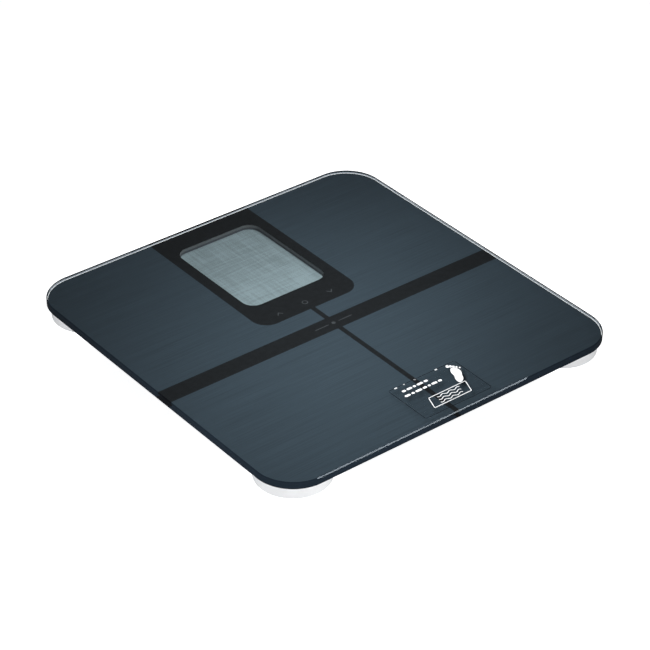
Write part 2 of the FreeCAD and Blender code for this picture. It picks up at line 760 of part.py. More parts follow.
def make_foot_pad(name, x, y):
    """The rubber disc that stands on the floor, hollowed a little in the middle."""
    body = new_body("foot_pad_" + name, x, y)
    top = S.pad_proud + S.pad_seat
    profile = [
        (0, top),
        (0, S.pad_hollow_height),
        (S.pad_hollow, S.pad_hollow_height),
        (S.pad_hollow, 0),
        (PAD_RADIUS, 0, S.pad_round),
        (PAD_RADIUS, top),
    ]
    turn_profile(body, profile)
    keep(body, "foot_pad_" + name)


def make_feet():
    """Four feet, each a cup, ring, load cell, carrier and pad, with tape and gauge groups."""
    tapes = []
    gauges = []
    for name, side, end, turn in FEET:
        x = FOOT_X * side
        y = FOOT_Y * end
        make_foot_housing(name, x, y, turn)
        make_foot_collar(name, x, y)
        make_load_cell(name, x, y, turn)
        make_foot_carrier(name, x, y)
        make_foot_pad(name, x, y)
        gauges.append(make_gauge(name, x, y, turn))
        tape = new_body("tape_" + name, x, y)
        raise_posts(tape, [(0, 0)], S.foot_radius - S.foot_wall / 2, FOOT_ROOF, INK_UNDER, "disc")
        tapes.append(tape)
    group("strain_gauges", gauges)
    group("foot_tapes", tapes)


# ---------------------------------------------------------------- display
def make_display_frame():
    """The plate that is taped to the print and carries everything inside the housing."""
    body = new_body("display_frame")
    half_y = S.housing_depth / 2
    middle = HOUSING_BACK - half_y
    corners = box_corners(0, middle, HOUSING_HALF, half_y, S.housing_corner)
    raise_outline(body, corners, FRAME_UNDER, FRAME_TOP)
    post_low = COVER_FLOOR + S.screw_head_height + S.housing_floor * 2
    raise_posts(body, SCREW_PLACES, S.post_radius, post_low, FRAME_UNDER, "screw_posts")
    cut_outline(body, window_corners(S.frame_margin), FRAME_UNDER, FRAME_TOP, "window")
    cut_holes(body, KEY_PLACES, S.key_hole_radius, FRAME_UNDER, FRAME_TOP, "key_holes")
    pilot = S.screw_shank + S.stop_gap
    cut_holes(body, SCREW_PLACES, pilot, post_low, FRAME_UNDER, "pilot_holes")
    keep(body, "display_frame")


def make_gasket():
    """The foam tape between the print and the display frame."""
    body = new_body("housing_gasket")
    half_y = S.housing_depth / 2
    middle = HOUSING_BACK - half_y
    corners = box_corners(0, middle, HOUSING_HALF, half_y, S.housing_corner)
    raise_outline(body, corners, FRAME_TOP, INK_UNDER)
    cut_outline(body, window_corners(S.frame_margin), FRAME_TOP, INK_UNDER, "window")
    cut_holes(body, KEY_PLACES, S.key_hole_radius, FRAME_TOP, INK_UNDER, "key_holes")
    keep(body, "housing_gasket")


def make_display():
    """The display glass in its bezel, its reflector and the contact strip to the board."""
    half_x = S.lcd_width / 2
    half_y = S.lcd_depth / 2
    box_piece("lcd_panel", 0, LCD_MIDDLE, half_x, half_y, LCD_UNDER, LCD_FACE - S.stop_gap)
    ledge = S.lcd_ledge + S.fit_gap
    reflector_half = half_y - ledge / 2
    reflector_middle = LCD_MIDDLE + ledge / 2
    reflector_x = half_x - S.reflector_inset
    box_piece("lcd_reflector", 0, reflector_middle, reflector_x, reflector_half, REFLECTOR_UNDER, LCD_UNDER)
    strip_y = LCD_FRONT + S.lcd_ledge / 2
    strip_x = half_x - S.zebra_inset
    box_piece("zebra_strip", 0, strip_y, strip_x, S.zebra_width / 2, BOARD_TOP, LCD_UNDER)
    bezel = new_body("lcd_bezel")
    wall = S.bezel_wall + S.fit_gap
    corners = box_corners(0, LCD_MIDDLE, half_x + wall, half_y + wall, S.bezel_corner)
    raise_outline(bezel, corners, REFLECTOR_UNDER, FRAME_UNDER - S.stop_gap)
    seat = box_corners(0, LCD_MIDDLE, half_x + S.fit_gap, half_y + S.fit_gap)
    cut_outline(bezel, seat, REFLECTOR_UNDER, LCD_FACE, "seat")
    cut_outline(bezel, window_corners(S.frame_margin), LCD_FACE, FRAME_UNDER, "opening")
    keep(bezel, "lcd_bezel")


KEY_PLACES = [(-S.key_pitch, KEY_ROW), (0, KEY_ROW), (S.key_pitch, KEY_ROW)]
SCREW_X = HOUSING_HALF - S.screw_inset
SCREW_PLACES = [
    (SCREW_X * side, y)
    for side in (-1, 1)
    for y in (HOUSING_FRONT + S.screw_inset, HOUSING_BACK - S.screw_inset)
]


# ---------------------------------------------------------------- boards and keys
def make_key_spring(x):
    """A coil that carries the touch of one key from the board to the print."""
    helix = DOC.addObject("Part::Helix", "key_helix")
    rise = INK_UNDER - BOARD_TOP - S.spring_wire * 2
    bind(helix, "Radius", S.spring_radius)
    bind(helix, "Height", rise)
    bind(helix, "Pitch", rise / S.spring_turns)
    section = DOC.addObject("Part::Circle", "key_wire")
    bind(section, "Radius", S.spring_wire)
    bind(section, "Placement.Base.x", S.spring_radius)
    section.Placement.Rotation = FreeCAD.Rotation(Vector(1, 0, 0), 90)
    coil = DOC.addObject("Part::Sweep", "key_coil")
    coil.Sections = [section]
    coil.Spine = (helix, ["Edge1"])
    coil.Solid = True
    coil.Frenet = True
    bind(coil, "Placement.Base.x", x)
    bind(coil, "Placement.Base.y", KEY_ROW)
    bind(coil, "Placement.Base.z", BOARD_TOP + S.spring_wire)
    return coil


def make_boards():
    """The main board with its chip, sockets and key springs, and the small switch board."""
    board_y = BOARD_FRONT + S.board_depth / 2
    half_x = S.board_width / 2
    box_piece("main_board", 0, board_y, half_x, S.board_depth / 2, BOARD_UNDER, BOARD_TOP)
    chip = new_body("control_chip", S.key_pitch / 2, KEY_ROW)
    chip_top = BOARD_TOP + S.chip_height
    profile = [
        (0, BOARD_TOP),
        (S.chip_radius, BOARD_TOP),
        (S.chip_radius, chip_top, S.chip_round),
        (0, chip_top),
    ]
    turn_profile(chip, profile)
    keep(chip, "control_chip")
    for name, side in (("left", -1), ("right", 1)):
        x = S.socket_x * side
        top = BOARD_TOP + S.socket_height
        half = (S.socket_width / 2, S.socket_depth / 2)
        box_piece("cable_socket_" + name, x, KEY_ROW, *half, BOARD_TOP, top)
    group("key_springs", [make_key_spring(x) for x, _ in KEY_PLACES])


SWITCH_BOARD_TOP = FRAME_UNDER
SWITCH_BOARD_UNDER = SWITCH_BOARD_TOP - S.board_thickness
CAP_FACE = COVER_UNDER + S.button_recess
CAP_FLANGE = COVER_FLOOR + S.stop_gap
CAP_TOP = CAP_FLANGE + S.button_flange_height
PLUNGER_LOW = CAP_TOP + S.stop_gap
SWITCH_UNDER = PLUNGER_LOW + S.plunger_proud
PLUNGER_TOP = SWITCH_UNDER + S.plunger_held


def make_unit_switch():
    """The unit button in the cover, with the tact switch that it presses."""
    at = (BUTTON_X, BAY_CENTRE)
    board = new_body("switch_board")
    half_x = S.switch_board_width / 2
    half_y = S.switch_board_depth / 2
    raise_outline(board, box_corners(*at, half_x, half_y), SWITCH_BOARD_UNDER, SWITCH_BOARD_TOP)
    keep(board, "switch_board")
    switch = new_body("unit_switch")
    half = S.switch_side / 2
    raise_outline(switch, box_corners(*at, half, half), SWITCH_UNDER, SWITCH_BOARD_UNDER)
    well_top = PLUNGER_TOP + S.button_travel + S.stop_gap
    cut_holes(switch, [at], S.switch_plunger + S.stop_gap, SWITCH_UNDER, well_top, "plunger_well")
    keep(switch, "unit_switch")
    plunger = new_body("unit_plunger", *at)
    turn_profile(plunger, box_profile(S.switch_plunger, PLUNGER_LOW, PLUNGER_TOP))
    keep(plunger, "unit_plunger")
    cap = new_body("unit_button", *at)
    profile = [
        (0, CAP_TOP),
        (0, CAP_FACE),
        (S.button_radius, CAP_FACE, S.button_round),
        (S.button_radius, CAP_FLANGE),
        (S.button_radius + S.button_flange, CAP_FLANGE),
        (S.button_radius + S.button_flange, CAP_TOP),
    ]
    turn_profile(cap, profile)
    keep(cap, "unit_button")


def box_profile(radius, low, high):
    """The profile of a plain round piece."""
    return [(0, low), (radius, low), (radius, high), (0, high)]


# ---------------------------------------------------------------- rear cover, battery bay and door
CABLE_WALL_Z = COVER_TOP - CABLE_SLOT
REAR_ENTRY = HOUSING_BACK - S.rear_entry_gap


def make_rear_cover():
    """The tray that closes the housing from below, with the battery bay moulded in."""
    body = new_body("rear_cover")
    half_y = S.housing_depth / 2
    middle = HOUSING_BACK - half_y
    wall = S.housing_wall
    corners = box_corners(0, middle, HOUSING_HALF, half_y, S.housing_corner)
    raise_outline(body, corners, COVER_UNDER, COVER_TOP, "block")
    dress_edges(body, "Fillet", "Radius", S.housing_edge, lies_at(COVER_UNDER), "lower_edge")
    inner = box_corners(0, middle, HOUSING_HALF - wall, half_y - wall, S.housing_corner - wall)
    cut_outline(body, inner, COVER_FLOOR, COVER_TOP, "cavity")
    outer_x = RECESS_HALF_X + S.bay_wall
    outer_y = RECESS_HALF_Y + S.bay_wall
    bay = box_corners(0, BAY_CENTRE, outer_x, outer_y, S.bay_corner)
    raise_outline(body, bay, COVER_FLOOR, BAY_CEILING + S.housing_floor, "bay_block")
    post_top = COVER_FLOOR + S.screw_head_height + S.housing_floor * 2 - S.fit_gap
    raise_posts(body, SCREW_PLACES, S.post_radius, COVER_FLOOR, post_top, "screw_posts")
    raise_rails(body)
    recess = box_corners(0, BAY_CENTRE, RECESS_HALF_X, RECESS_HALF_Y)
    cut_outline(body, recess, COVER_UNDER, DOOR_RECESS_TOP, "door_recess")
    room = box_corners(0, BAY_CENTRE, BAY_HALF_X, BAY_HALF_Y, S.bay_corner)
    cut_outline(body, room, DOOR_RECESS_TOP, BAY_CEILING, "bay_room")
    heel_room = S.door_heel + S.door_gap
    relief = box_corners(0, HINGE_Y, RECESS_HALF_X, heel_room)
    cut_outline(body, relief, DOOR_RECESS_TOP, HINGE_Z + heel_room, "hinge_relief")
    cut_trunnion_holes(body)
    scoop_y = BAY_CENTRE - RECESS_HALF_Y - S.tab_reach / 2 - S.door_gap / 2
    scoop = box_corners(0, scoop_y, S.tab_width / 2 + S.door_gap, S.tab_reach / 2 + S.door_gap * 1.5)
    cut_outline(body, scoop, COVER_UNDER, COVER_UNDER + S.door_thickness, "finger_scoop")
    button_bore = S.button_radius + S.button_gap
    cut_holes(body, [(BUTTON_X, BAY_CENTRE)], button_bore, COVER_UNDER, COVER_FLOOR, "button_hole")
    head_bore = S.screw_head + S.fit_gap
    head_top = COVER_UNDER + S.screw_head_height + S.fit_gap
    cut_holes(body, SCREW_PLACES, head_bore, COVER_UNDER, head_top, "screw_head_holes")
    cut_holes(body, SCREW_PLACES, S.screw_shank + S.fit_gap, head_top, post_top, "screw_holes")
    for side in (-1, 1):
        for y in (FRONT_ENTRY, REAR_ENTRY):
            slot = box_corners((HOUSING_HALF - wall / 2) * side, y, wall, CABLE_SLOT)
            name = f"cable_slot_{side + 1}_{'rear' if y is REAR_ENTRY else 'front'}"
            cut_outline(body, slot, COVER_TOP - CABLE_SLOT * 2, COVER_TOP, name)
    keep(body, "rear_cover")


def raise_rails(body):
    """Low rails on the floor that carry the display and the main board."""
    board_back = BOARD_FRONT + S.board_depth
    display_back = LCD_FRONT + S.lcd_depth
    rails = [
        ("display", S.lcd_width, board_back, display_back, REFLECTOR_UNDER - S.stop_gap),
        ("board", S.board_width, BOARD_FRONT, board_back, BOARD_UNDER),
    ]
    for name, width, front, back, top in rails:
        x = width / 2 - S.rail_inset
        y = (front + back) / 2
        half_y = (back - front) / 2 - S.rail_end
        for side in (-1, 1):
            corners = box_corners(x * side, y, S.rail_width / 2, half_y)
            raise_outline(body, corners, COVER_FLOOR, top, f"{name}_rail_{side + 1}")


def cut_trunnion_holes(body):
    """The two blind holes beside the bay in which the door's hinge pins turn."""
    sketch = new_sketch(body, "YZ_Plane")
    draw_circle(sketch, HINGE_Y, HINGE_Z, S.trunnion_radius + S.trunnion_gap)
    DOC.recompute()
    before = body.Shape.Volume
    pocket = add_feature(body, "Pocket", sketch, "trunnion_holes")
    pocket.Midplane = True
    reach = RECESS_HALF_X - S.door_gap + S.trunnion_length + S.fit_gap
    bind(pocket, "Length", reach * 2)
    DOC.recompute()
    if not body.Shape.Volume < before:
        raise RuntimeError("the trunnion holes cut nothing")


GRIP_GROOVES = 3


def make_battery_door():
    """The door of the battery bay: it swings on two pins and has a finger tab in front."""
    body = new_body("battery_door")
    half_x = RECESS_HALF_X - S.door_gap
    front = BAY_CENTRE - RECESS_HALF_Y + S.door_gap
    door_top = COVER_UNDER + S.door_thickness
    section = new_sketch(body, "YZ_Plane")
    corners = [
        (front, COVER_UNDER),
        (HINGE_Y + S.door_heel, COVER_UNDER, S.door_heel - S.stop_gap),
        (HINGE_Y + S.door_heel, door_top),
        (front, door_top),
    ]
    draw_outline(section, corners)
    slab = add_feature(body, "Pad", section, "slab")
    slab.Midplane = True
    bind(slab, "Length", half_x * 2)
    pins = new_sketch(body, "YZ_Plane")
    draw_circle(pins, HINGE_Y, HINGE_Z, S.trunnion_radius)
    rod = add_feature(body, "Pad", pins, "trunnions")
    rod.Midplane = True
    bind(rod, "Length", (half_x + S.trunnion_length) * 2)
    tab_y = front - S.tab_reach / 2 + S.door_gap / 2
    tab = box_corners(0, tab_y, S.tab_width / 2, S.tab_reach / 2)
    raise_outline(body, tab, COVER_UNDER + S.fit_gap, door_top - S.fit_gap * 2, "finger_tab")
    for groove in range(GRIP_GROOVES):
        groove_y = front + S.grip_pitch * (GRIP_GROOVES / 2 + groove)
        corners = box_corners(0, groove_y, S.tab_width / 2, S.grip_width / 2)
        cut_outline(body, corners, COVER_UNDER, COVER_UNDER + S.grip_depth, f"grip_{groove}")
    keep(body, "battery_door")


def make_batteries():
    """Two coin cells, the contact over each and the bridge that the door carries."""
    offset = S.battery_radius + S.battery_gap / 2
    for name, side in (("left", -1), ("right", 1)):
        body = new_body("battery_" + name, offset * side, BAY_CENTRE)
        lip = S.battery_radius - S.battery_lip
        step = CELLS_UNDER + S.battery_step
        profile = [
            (0, CELLS_UNDER),
            (lip, CELLS_UNDER),
            (lip, step),
            (S.battery_radius, step),
            (S.battery_radius, CELLS_TOP),
            (0, CELLS_TOP),
        ]
        turn_profile(body, profile)
        keep(body, "battery_" + name)
    for name, side in (("negative", -1), ("positive", 1)):
        body = new_body("contact_" + name)
        at = (offset * side, BAY_CENTRE)
        low = BAY_CEILING - S.contact_thickness
        half_x = S.contact_width / 2
        raise_outline(body, box_corners(*at, half_x, S.contact_depth / 2), low, BAY_CEILING)
        raise_posts(body, [at], S.contact_bump, CELLS_TOP + S.stop_gap, low, "bump")
        keep(body, "contact_" + name)
    bridge = new_body("door_bridge")
    low = COVER_UNDER + S.door_thickness
    high = low + S.contact_thickness
    half_x = offset + S.bridge_overhang
    raise_outline(bridge, box_corners(0, BAY_CENTRE, half_x, S.contact_depth / 2), low, high)
    places = [(offset * side, BAY_CENTRE) for side in (-1, 1)]
    raise_posts(bridge, places, S.contact_bump, high, CELLS_UNDER - S.stop_gap, "bumps")
    keep(bridge, "door_bridge")


def make_screws():
    """Four equal screws that hold the cover to the frame."""
    screws = []
    for x, y in SCREW_PLACES:
        body = new_body("screw", x, y)
        head_low = COVER_UNDER + S.fit_gap
        head_top = COVER_UNDER + S.screw_head_height
        profile = [
            (0, head_low),
            (S.screw_head, head_low),
            (S.screw_head, head_top + S.fit_gap),
            (S.screw_shank, head_top + S.fit_gap),
            (S.screw_shank, FRAME_UNDER - S.screw_tip_gap),
            (0, FRAME_UNDER - S.screw_tip_gap),
        ]
        turn_profile(body, profile)
        slots = new_sketch(body, "XY_Plane", head_low)
        draw_cross(slots, S.screw_slot_reach, S.screw_slot_width / 2)
        cut_upwards(body, slots, S.screw_slot_depth, "cross_slot")
        screws.append(body)
    group("cover_screws", screws)


def draw_cross(sketch, reach, half_width):
    """The outline of a cross slot."""
    quarter = [(reach, -half_width), (reach, half_width), (half_width, half_width)]
    corners = []
    for _ in range(4):
        corners += quarter
        quarter = [(-y, x) for x, y in quarter]
    draw_outline(sketch, corners)


# ---------------------------------------------------------------- cables, leads and ducts
def bent_wire(points, radii):
    """Straight runs through the points, joined by tangent arcs of the given radii."""
    points = [Vector(*(float(part) for part in point)) for point in points]
    edges = []
    start = points[0]
    for before, corner, after, radius in zip(points, points[1:], points[2:], radii):
        back = (before - corner).normalize()
        ahead = (after - corner).normalize()
        half_turn = (math.pi - back.getAngle(ahead)) / 2
        radius = float(radius)
        reach = radius * math.tan(half_turn)
        arc_start = corner + back * reach
        arc_end = corner + ahead * reach
        inward = (back + ahead).normalize()
        middle = corner + inward * (radius / math.cos(half_turn) - radius)
        edges.append(Part.LineSegment(start, arc_start).toShape())
        edges.append(Part.Arc(arc_start, middle, arc_end).toShape())
        start = arc_end
    edges.append(Part.LineSegment(start, points[-1]).toShape())
    return Part.Wire(edges)


# How far a cable's volume may be from its section times its length, as a share.
VOLUME_SHARE = 0.01


def tube(name, points, radii, radius):
    """A round cable along a bent route, with its volume proved against its length."""
    wire = bent_wire(points, radii)
    first = wire.Edges[0]
    section = Part.Wire(Part.makeCircle(float(radius), first.valueAt(0), first.tangentAt(0)))
    solid = wire.makePipeShell([section], True, False)
    expected = math.pi * float(radius) ** 2 * wire.Length
    if abs(solid.Volume - expected) > VOLUME_SHARE * expected:
        raise RuntimeError(f"{name} has the volume {solid.Volume:.1f}, not {expected:.1f}")
    feature = DOC.addObject("Part::Feature", name)
    feature.Shape = solid
    return feature


def cable_points(end):
    """The route of a right-hand cable, from its load cell to its socket, with the radius of each bend."""
    start = CELL_SIDE / 2 + S.fit_gap
    wall_out = S.foot_radius + S.foot_wall
    duct_in = S.foot_radius + S.duct_foot_gap
    notch_z = FOOT_CEILING - CABLE_SLOT
    near = HOUSING_HALF + S.duct_housing_gap / 2
    far = HOUSING_HALF + S.duct_housing_gap
    lane = HOUSING_HALF - S.cable_lane
    socket_z = BOARD_TOP + S.socket_height / 2
    socket_y = KEY_ROW + S.socket_pitch / 2 * end
    entry = REAR_ENTRY if end > 0 else FRONT_ENTRY
    steps = [(start, notch_z), (wall_out, notch_z), (duct_in, DUCT_CABLE_Z)]
    radii = [S.cable_bend, S.cable_bend]
    if end > 0:
        points = [(FOOT_X - step, FOOT_Y, z) for step, z in steps]
    else:
        points = [(FOOT_X, step - FOOT_Y, z) for step, z in steps]
        points.append((FOOT_X, entry, DUCT_CABLE_Z))
        radii.append(S.duct_bend)
    points += [(far, entry, DUCT_CABLE_Z), (near, entry, CABLE_WALL_Z)]
    points += [(lane, entry, CABLE_WALL_Z), (lane, socket_y, socket_z)]
    points.append((S.socket_x + S.socket_width / 2, socket_y, socket_z))
    radii += [S.cable_bend, S.cable_bend, S.cable_turn, S.cable_turn]
    return points, radii


def make_cell_cables():
    """The four cables from the load cells to the sockets on the main board."""
    for name, side, end, _ in FEET:
        points, radii = cable_points(end)
        points = [(x * side, y, z) for x, y, z in points]
        keep(tube("cell_cable_" + name, points, radii, S.cable_radius), "cell_cable_" + name)


def duct_corners(side, end, half):
    """The plan of a duct with the given half width: straight at the rear, bent at the front."""
    start = S.foot_radius + S.duct_foot_gap
    stop = HOUSING_HALF + S.duct_housing_gap
    if end > 0:
        low = FOOT_Y - half
        high = FOOT_Y + half
        corners = [(FOOT_X - start, low), (FOOT_X - start, high), (stop, high), (stop, low)]
    else:
        foot_end = -FOOT_Y + start
        corners = [
            (FOOT_X + half, foot_end),
            (FOOT_X + half, FRONT_ENTRY + half, S.duct_bend + half),
            (stop, FRONT_ENTRY + half),
            (stop, FRONT_ENTRY - half),
            (FOOT_X - half, FRONT_ENTRY - half, S.duct_bend - half),
            (FOOT_X - half, foot_end),
        ]
    return [(as_size(corner[0]) * side, *corner[1:]) for corner in corners]


def make_ducts():
    """White channels glued under the print, which cover the cables."""
    for name, side, end, _ in FEET:
        body = new_body("cable_duct_" + name)
        half = S.duct_width / 2
        low = INK_UNDER - S.duct_height
        raise_outline(body, duct_corners(side, end, half), low, INK_UNDER)
        channel = duct_corners(side, end, half - S.duct_wall)
        cut_outline(body, channel, low + S.duct_wall, INK_UNDER, "channel")
        keep(body, "cable_duct_" + name)


def make_leads():
    """Thin leads inside the housing, from the battery contacts and the switch to the main board."""
    leads = []
    end_y = BOARD_FRONT + S.lead_landing
    end_z = BOARD_TOP + S.lead_radius * 2
    offset = S.battery_radius + S.battery_gap / 2
    bay_back = BAY_CENTRE + RECESS_HALF_Y + S.bay_wall
    high = BAY_CEILING + S.housing_floor + S.lead_radius + S.stop_gap
    for name, side in (("left", -1), ("right", 1)):
        x = offset * side
        points = [(x, bay_back - S.bay_wall, high), (x, bay_back + S.bay_wall, high), (x, end_y, end_z)]
        leads.append(tube("battery_lead_" + name, points, [S.lead_bend], S.lead_radius))
    group("battery_leads", leads)
    x = BUTTON_X - S.switch_board_width / 4
    lead_z = SWITCH_BOARD_UNDER + S.board_thickness / 2
    start = BAY_CENTRE + S.switch_board_depth / 2 + S.stop_gap
    bend = start + S.switch_board_depth / 2
    landing = S.socket_x - S.socket_width / 2 - S.lead_radius * 3
    points = [(x, start, lead_z), (x, bend, lead_z), (landing, end_y, end_z)]
    keep(tube("switch_lead", points, [S.lead_bend], S.lead_radius), "switch_lead")


# ---------------------------------------------------------------- build, check and write
def check_and_write():
    """Refuse a failed object or a bad shape, then write every piece to its own file."""
    DOC.recompute()
    for thing in DOC.Objects:
        if {"Invalid", "Error"} & set(thing.State):
            raise RuntimeError(f"{thing.Name} failed: {thing.State}")
    for piece in NODES:
        shape = piece.Shape
        if shape.isNull() or not shape.isValid() or not shape.Solids:
            raise RuntimeError(f"{piece.Label} has no valid shape")
    os.makedirs("parts", exist_ok=True)
    for piece in NODES:
        piece.Shape.exportStep(f"parts/{piece.Label}.step")
    print(f"{len(NODES)} pieces written")


make_platform()
make_print()
make_film_label()
make_feet()
make_display_frame()
make_gasket()
make_display()
make_boards()
make_unit_switch()
make_rear_cover()
make_battery_door()
make_batteries()
make_screws()
make_cell_cables()
make_ducts()
make_leads()
check_and_write()
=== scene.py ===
"""Looks of a digital bathroom scale: glass platform, print, display, label, feet and covers.

Lengths are in metres. The frame's own nodes keep their meshes and get finishes here, and a few of
them are replaced by finer surfaces that are worked out with numpy.
"""

import math

import bpy
import numpy as np
from mathutils import Matrix, Quaternion, Vector


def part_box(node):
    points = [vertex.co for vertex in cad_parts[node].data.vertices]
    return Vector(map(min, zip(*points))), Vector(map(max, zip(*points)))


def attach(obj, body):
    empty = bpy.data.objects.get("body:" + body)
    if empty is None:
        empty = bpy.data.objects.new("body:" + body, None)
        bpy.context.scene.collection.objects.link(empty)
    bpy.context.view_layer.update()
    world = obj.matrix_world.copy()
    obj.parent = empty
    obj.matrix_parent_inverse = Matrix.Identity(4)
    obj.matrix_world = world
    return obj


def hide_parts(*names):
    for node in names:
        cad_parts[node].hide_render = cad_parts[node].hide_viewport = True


bl_info = {
    "name": "Bathroom scale looks",
    "version": (1, 0, 0),
    "blender": (4, 5, 0),
    "location": "View3D > Sidebar > Bathroom Scale",
    "description": "Finishes and fine surfaces of a glass bathroom scale, with its studio",
    "category": "Object",
}

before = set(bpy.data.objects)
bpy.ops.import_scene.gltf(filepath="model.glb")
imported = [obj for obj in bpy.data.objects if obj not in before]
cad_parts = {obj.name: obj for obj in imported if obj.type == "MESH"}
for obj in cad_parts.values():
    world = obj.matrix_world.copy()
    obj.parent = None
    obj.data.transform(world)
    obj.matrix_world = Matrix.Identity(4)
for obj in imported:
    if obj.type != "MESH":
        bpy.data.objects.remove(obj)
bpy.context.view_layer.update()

MM = 0.001
FEET = ("rear_left", "rear_right", "front_left", "front_right")


def linear(red, green, blue):
    """A colour given in display values from 0 to 255, as scene linear values."""
    share = np.array([red, green, blue]) / 255.0
    value = np.where(share <= 0.04045, share / 12.92, ((share + 0.055) / 1.055) ** 2.4)
    return tuple(float(v) for v in value)


# ---------------------------------------------------------------- settings

class ScaleShapes(bpy.types.PropertyGroup):
    """Sizes of the surfaces that are finer than the frame's."""

    arris: bpy.props.FloatProperty(
        name="Arris", description="Ground bevel along the glass edges",
        default=0.65 * MM, min=0.1 * MM, max=3 * MM, unit="LENGTH")
    glass_corner: bpy.props.FloatProperty(
        name="Corner radius", description="Corners of the glass platform",
        default=30 * MM, min=1 * MM, max=150 * MM, unit="LENGTH")
    ink_bond: bpy.props.FloatProperty(
        name="Ink bond",
        description="How far the glass reaches into the print, so that no air shows between",
        default=0.02 * MM, min=0.001 * MM, max=0.09 * MM, unit="LENGTH")
    film_lift: bpy.props.FloatProperty(
        name="Film lift", description="Air between the glass and the label film",
        default=0.02 * MM, min=0.0, max=0.05 * MM, unit="LENGTH")
    film_corner: bpy.props.FloatProperty(
        name="Film corner", description="Corner radius of the label film",
        default=2 * MM, min=0.1 * MM, max=10 * MM, unit="LENGTH")
    print_thickness: bpy.props.FloatProperty(
        name="Label print", description="Thickness of the white print on the film",
        default=0.02 * MM, min=0.005 * MM, max=0.1 * MM, unit="LENGTH")
    tread_depth: bpy.props.FloatProperty(
        name="Tread depth", description="Depth of the rings moulded in each foot pad",
        default=0.35 * MM, min=0.0, max=1 * MM, unit="LENGTH")


class ScaleFinishes(bpy.types.PropertyGroup):
    """Colours of the finishes."""

    slate: bpy.props.FloatVectorProperty(
        name="Slate print", description="Blue-grey print under the glass",
        default=linear(48, 58, 66), min=0.0, max=1.0, subtype="COLOR")
    black: bpy.props.FloatVectorProperty(
        name="Black print", description="Band, line and display panel",
        default=linear(24, 26, 28), min=0.0, max=1.0, subtype="COLOR")
    marks: bpy.props.FloatVectorProperty(
        name="Grey marks", description="Key marks and the ornament on the band",
        default=linear(58, 61, 64), min=0.0, max=1.0, subtype="COLOR")
    glass: bpy.props.FloatVectorProperty(
        name="Glass tint", description="Faint green of the tempered glass",
        default=(0.955, 0.985, 0.975), min=0.0, max=1.0, subtype="COLOR")
    # Partly the glass's own blue-green and partly painted shade: it darkens the edge faces far more
    # than the glass's own tint would.
    glass_edge: bpy.props.FloatVectorProperty(
        name="Glass edge", description="Deeper blue-green of the glass seen through its edge",
        default=(0.11, 0.135, 0.18), min=0.0, max=1.0, subtype="COLOR")
    display: bpy.props.FloatVectorProperty(
        name="Display face", description="Grey-green face of the unlit display",
        default=linear(121, 133, 139), min=0.0, max=1.0, subtype="COLOR")
    housing: bpy.props.FloatVectorProperty(
        name="Housings", description="White moulded housings",
        default=linear(245, 246, 248), min=0.0, max=1.0, subtype="COLOR")
    rubber: bpy.props.FloatVectorProperty(
        name="Foot pads", description="Rubber of the foot pads",
        default=linear(168, 170, 172), min=0.0, max=1.0, subtype="COLOR")
    steel: bpy.props.FloatVectorProperty(
        name="Steel", description="Load cells, contacts and screws",
        default=linear(178, 178, 175), min=0.0, max=1.0, subtype="COLOR")


class StudioSettings(bpy.types.PropertyGroup):
    """Camera, lights and floor."""

    azimuth: bpy.props.FloatProperty(
        name="Azimuth", description="Camera round the object, 0 looks along +Y",
        default=math.radians(-38.989), subtype="ANGLE")
    elevation: bpy.props.FloatProperty(
        name="Elevation", description="Camera above the horizon",
        default=math.radians(34.214), subtype="ANGLE")
    roll: bpy.props.FloatProperty(
        name="Roll", description="Camera turned about its own axis",
        default=math.radians(0.752), subtype="ANGLE")
    distance: bpy.props.FloatProperty(
        name="Distance", description="Camera to the point it looks at",
        default=1.715121, min=0.1, unit="LENGTH")
    look_at: bpy.props.FloatVectorProperty(
        name="Look at", description="Point on the glass in the middle of the view",
        default=(-0.009156, -0.014609, 0.021), subtype="TRANSLATION")
    lens: bpy.props.FloatProperty(
        name="Lens", description="Focal length on a 36 mm sensor, in millimetres",
        default=134.17, min=10.0, max=500.0)
    key_power: bpy.props.FloatProperty(
        name="Key light", description="Small soft light close above the platform",
        default=1.20, min=0.0, unit="POWER")
    fill_power: bpy.props.FloatProperty(
        name="Fill light", description="Large weak light from the camera's side",
        default=6.0, min=0.0, unit="POWER")
    edge_power: bpy.props.FloatProperty(
        name="Edge light", description="Small light that the front arris mirrors",
        default=3.6, min=0.0, unit="POWER")
    room: bpy.props.FloatProperty(
        name="Room", description="Brightness of the dim room that the glass mirrors",
        default=0.05, min=0.0, max=1.0)
    floor: bpy.props.FloatVectorProperty(
        name="Floor", description="Plain pale floor",
        default=(0.93, 0.93, 0.93), min=0.0, max=1.0, subtype="COLOR")
    floor_glow: bpy.props.FloatProperty(
        name="Floor glow",
        description="Light that comes up through the pale floor, as on a light table",
        default=0.93, min=0.0, max=2.0)
    # Painted shadow: under the middle of the platform the floor's glow is dimmed to this share.
    floor_painted_shadow: bpy.props.FloatProperty(
        name="Covered floor",
        description="Share of the glow that is left under the middle of the platform",
        default=0.3, min=0.0, max=1.0)


# ---------------------------------------------------------------- surfaces

def rounded_path(width, depth, corner, centre=(0.0, 0.0), steps=28):
    """Points and outward normals along a rounded rectangle, anticlockwise.

    Each quarter is the corner's centre plus the corner radius times (cos a, sin a), for angles a
    that run on through a quarter turn, and straight sides join the quarters.
    """
    signs = np.array([[1, 1], [-1, 1], [-1, -1], [1, -1]], float)
    half = np.array([width / 2 - corner, depth / 2 - corner])
    angles = np.arange(4)[:, None] * np.pi / 2 + np.linspace(0, np.pi / 2, steps + 1)[None, :]
    normals = np.stack([np.cos(angles), np.sin(angles)], axis=-1)
    points = (signs * half)[:, None, :] + corner * normals + np.array(centre)
    return points.reshape(-1, 2), normals.reshape(-1, 2)


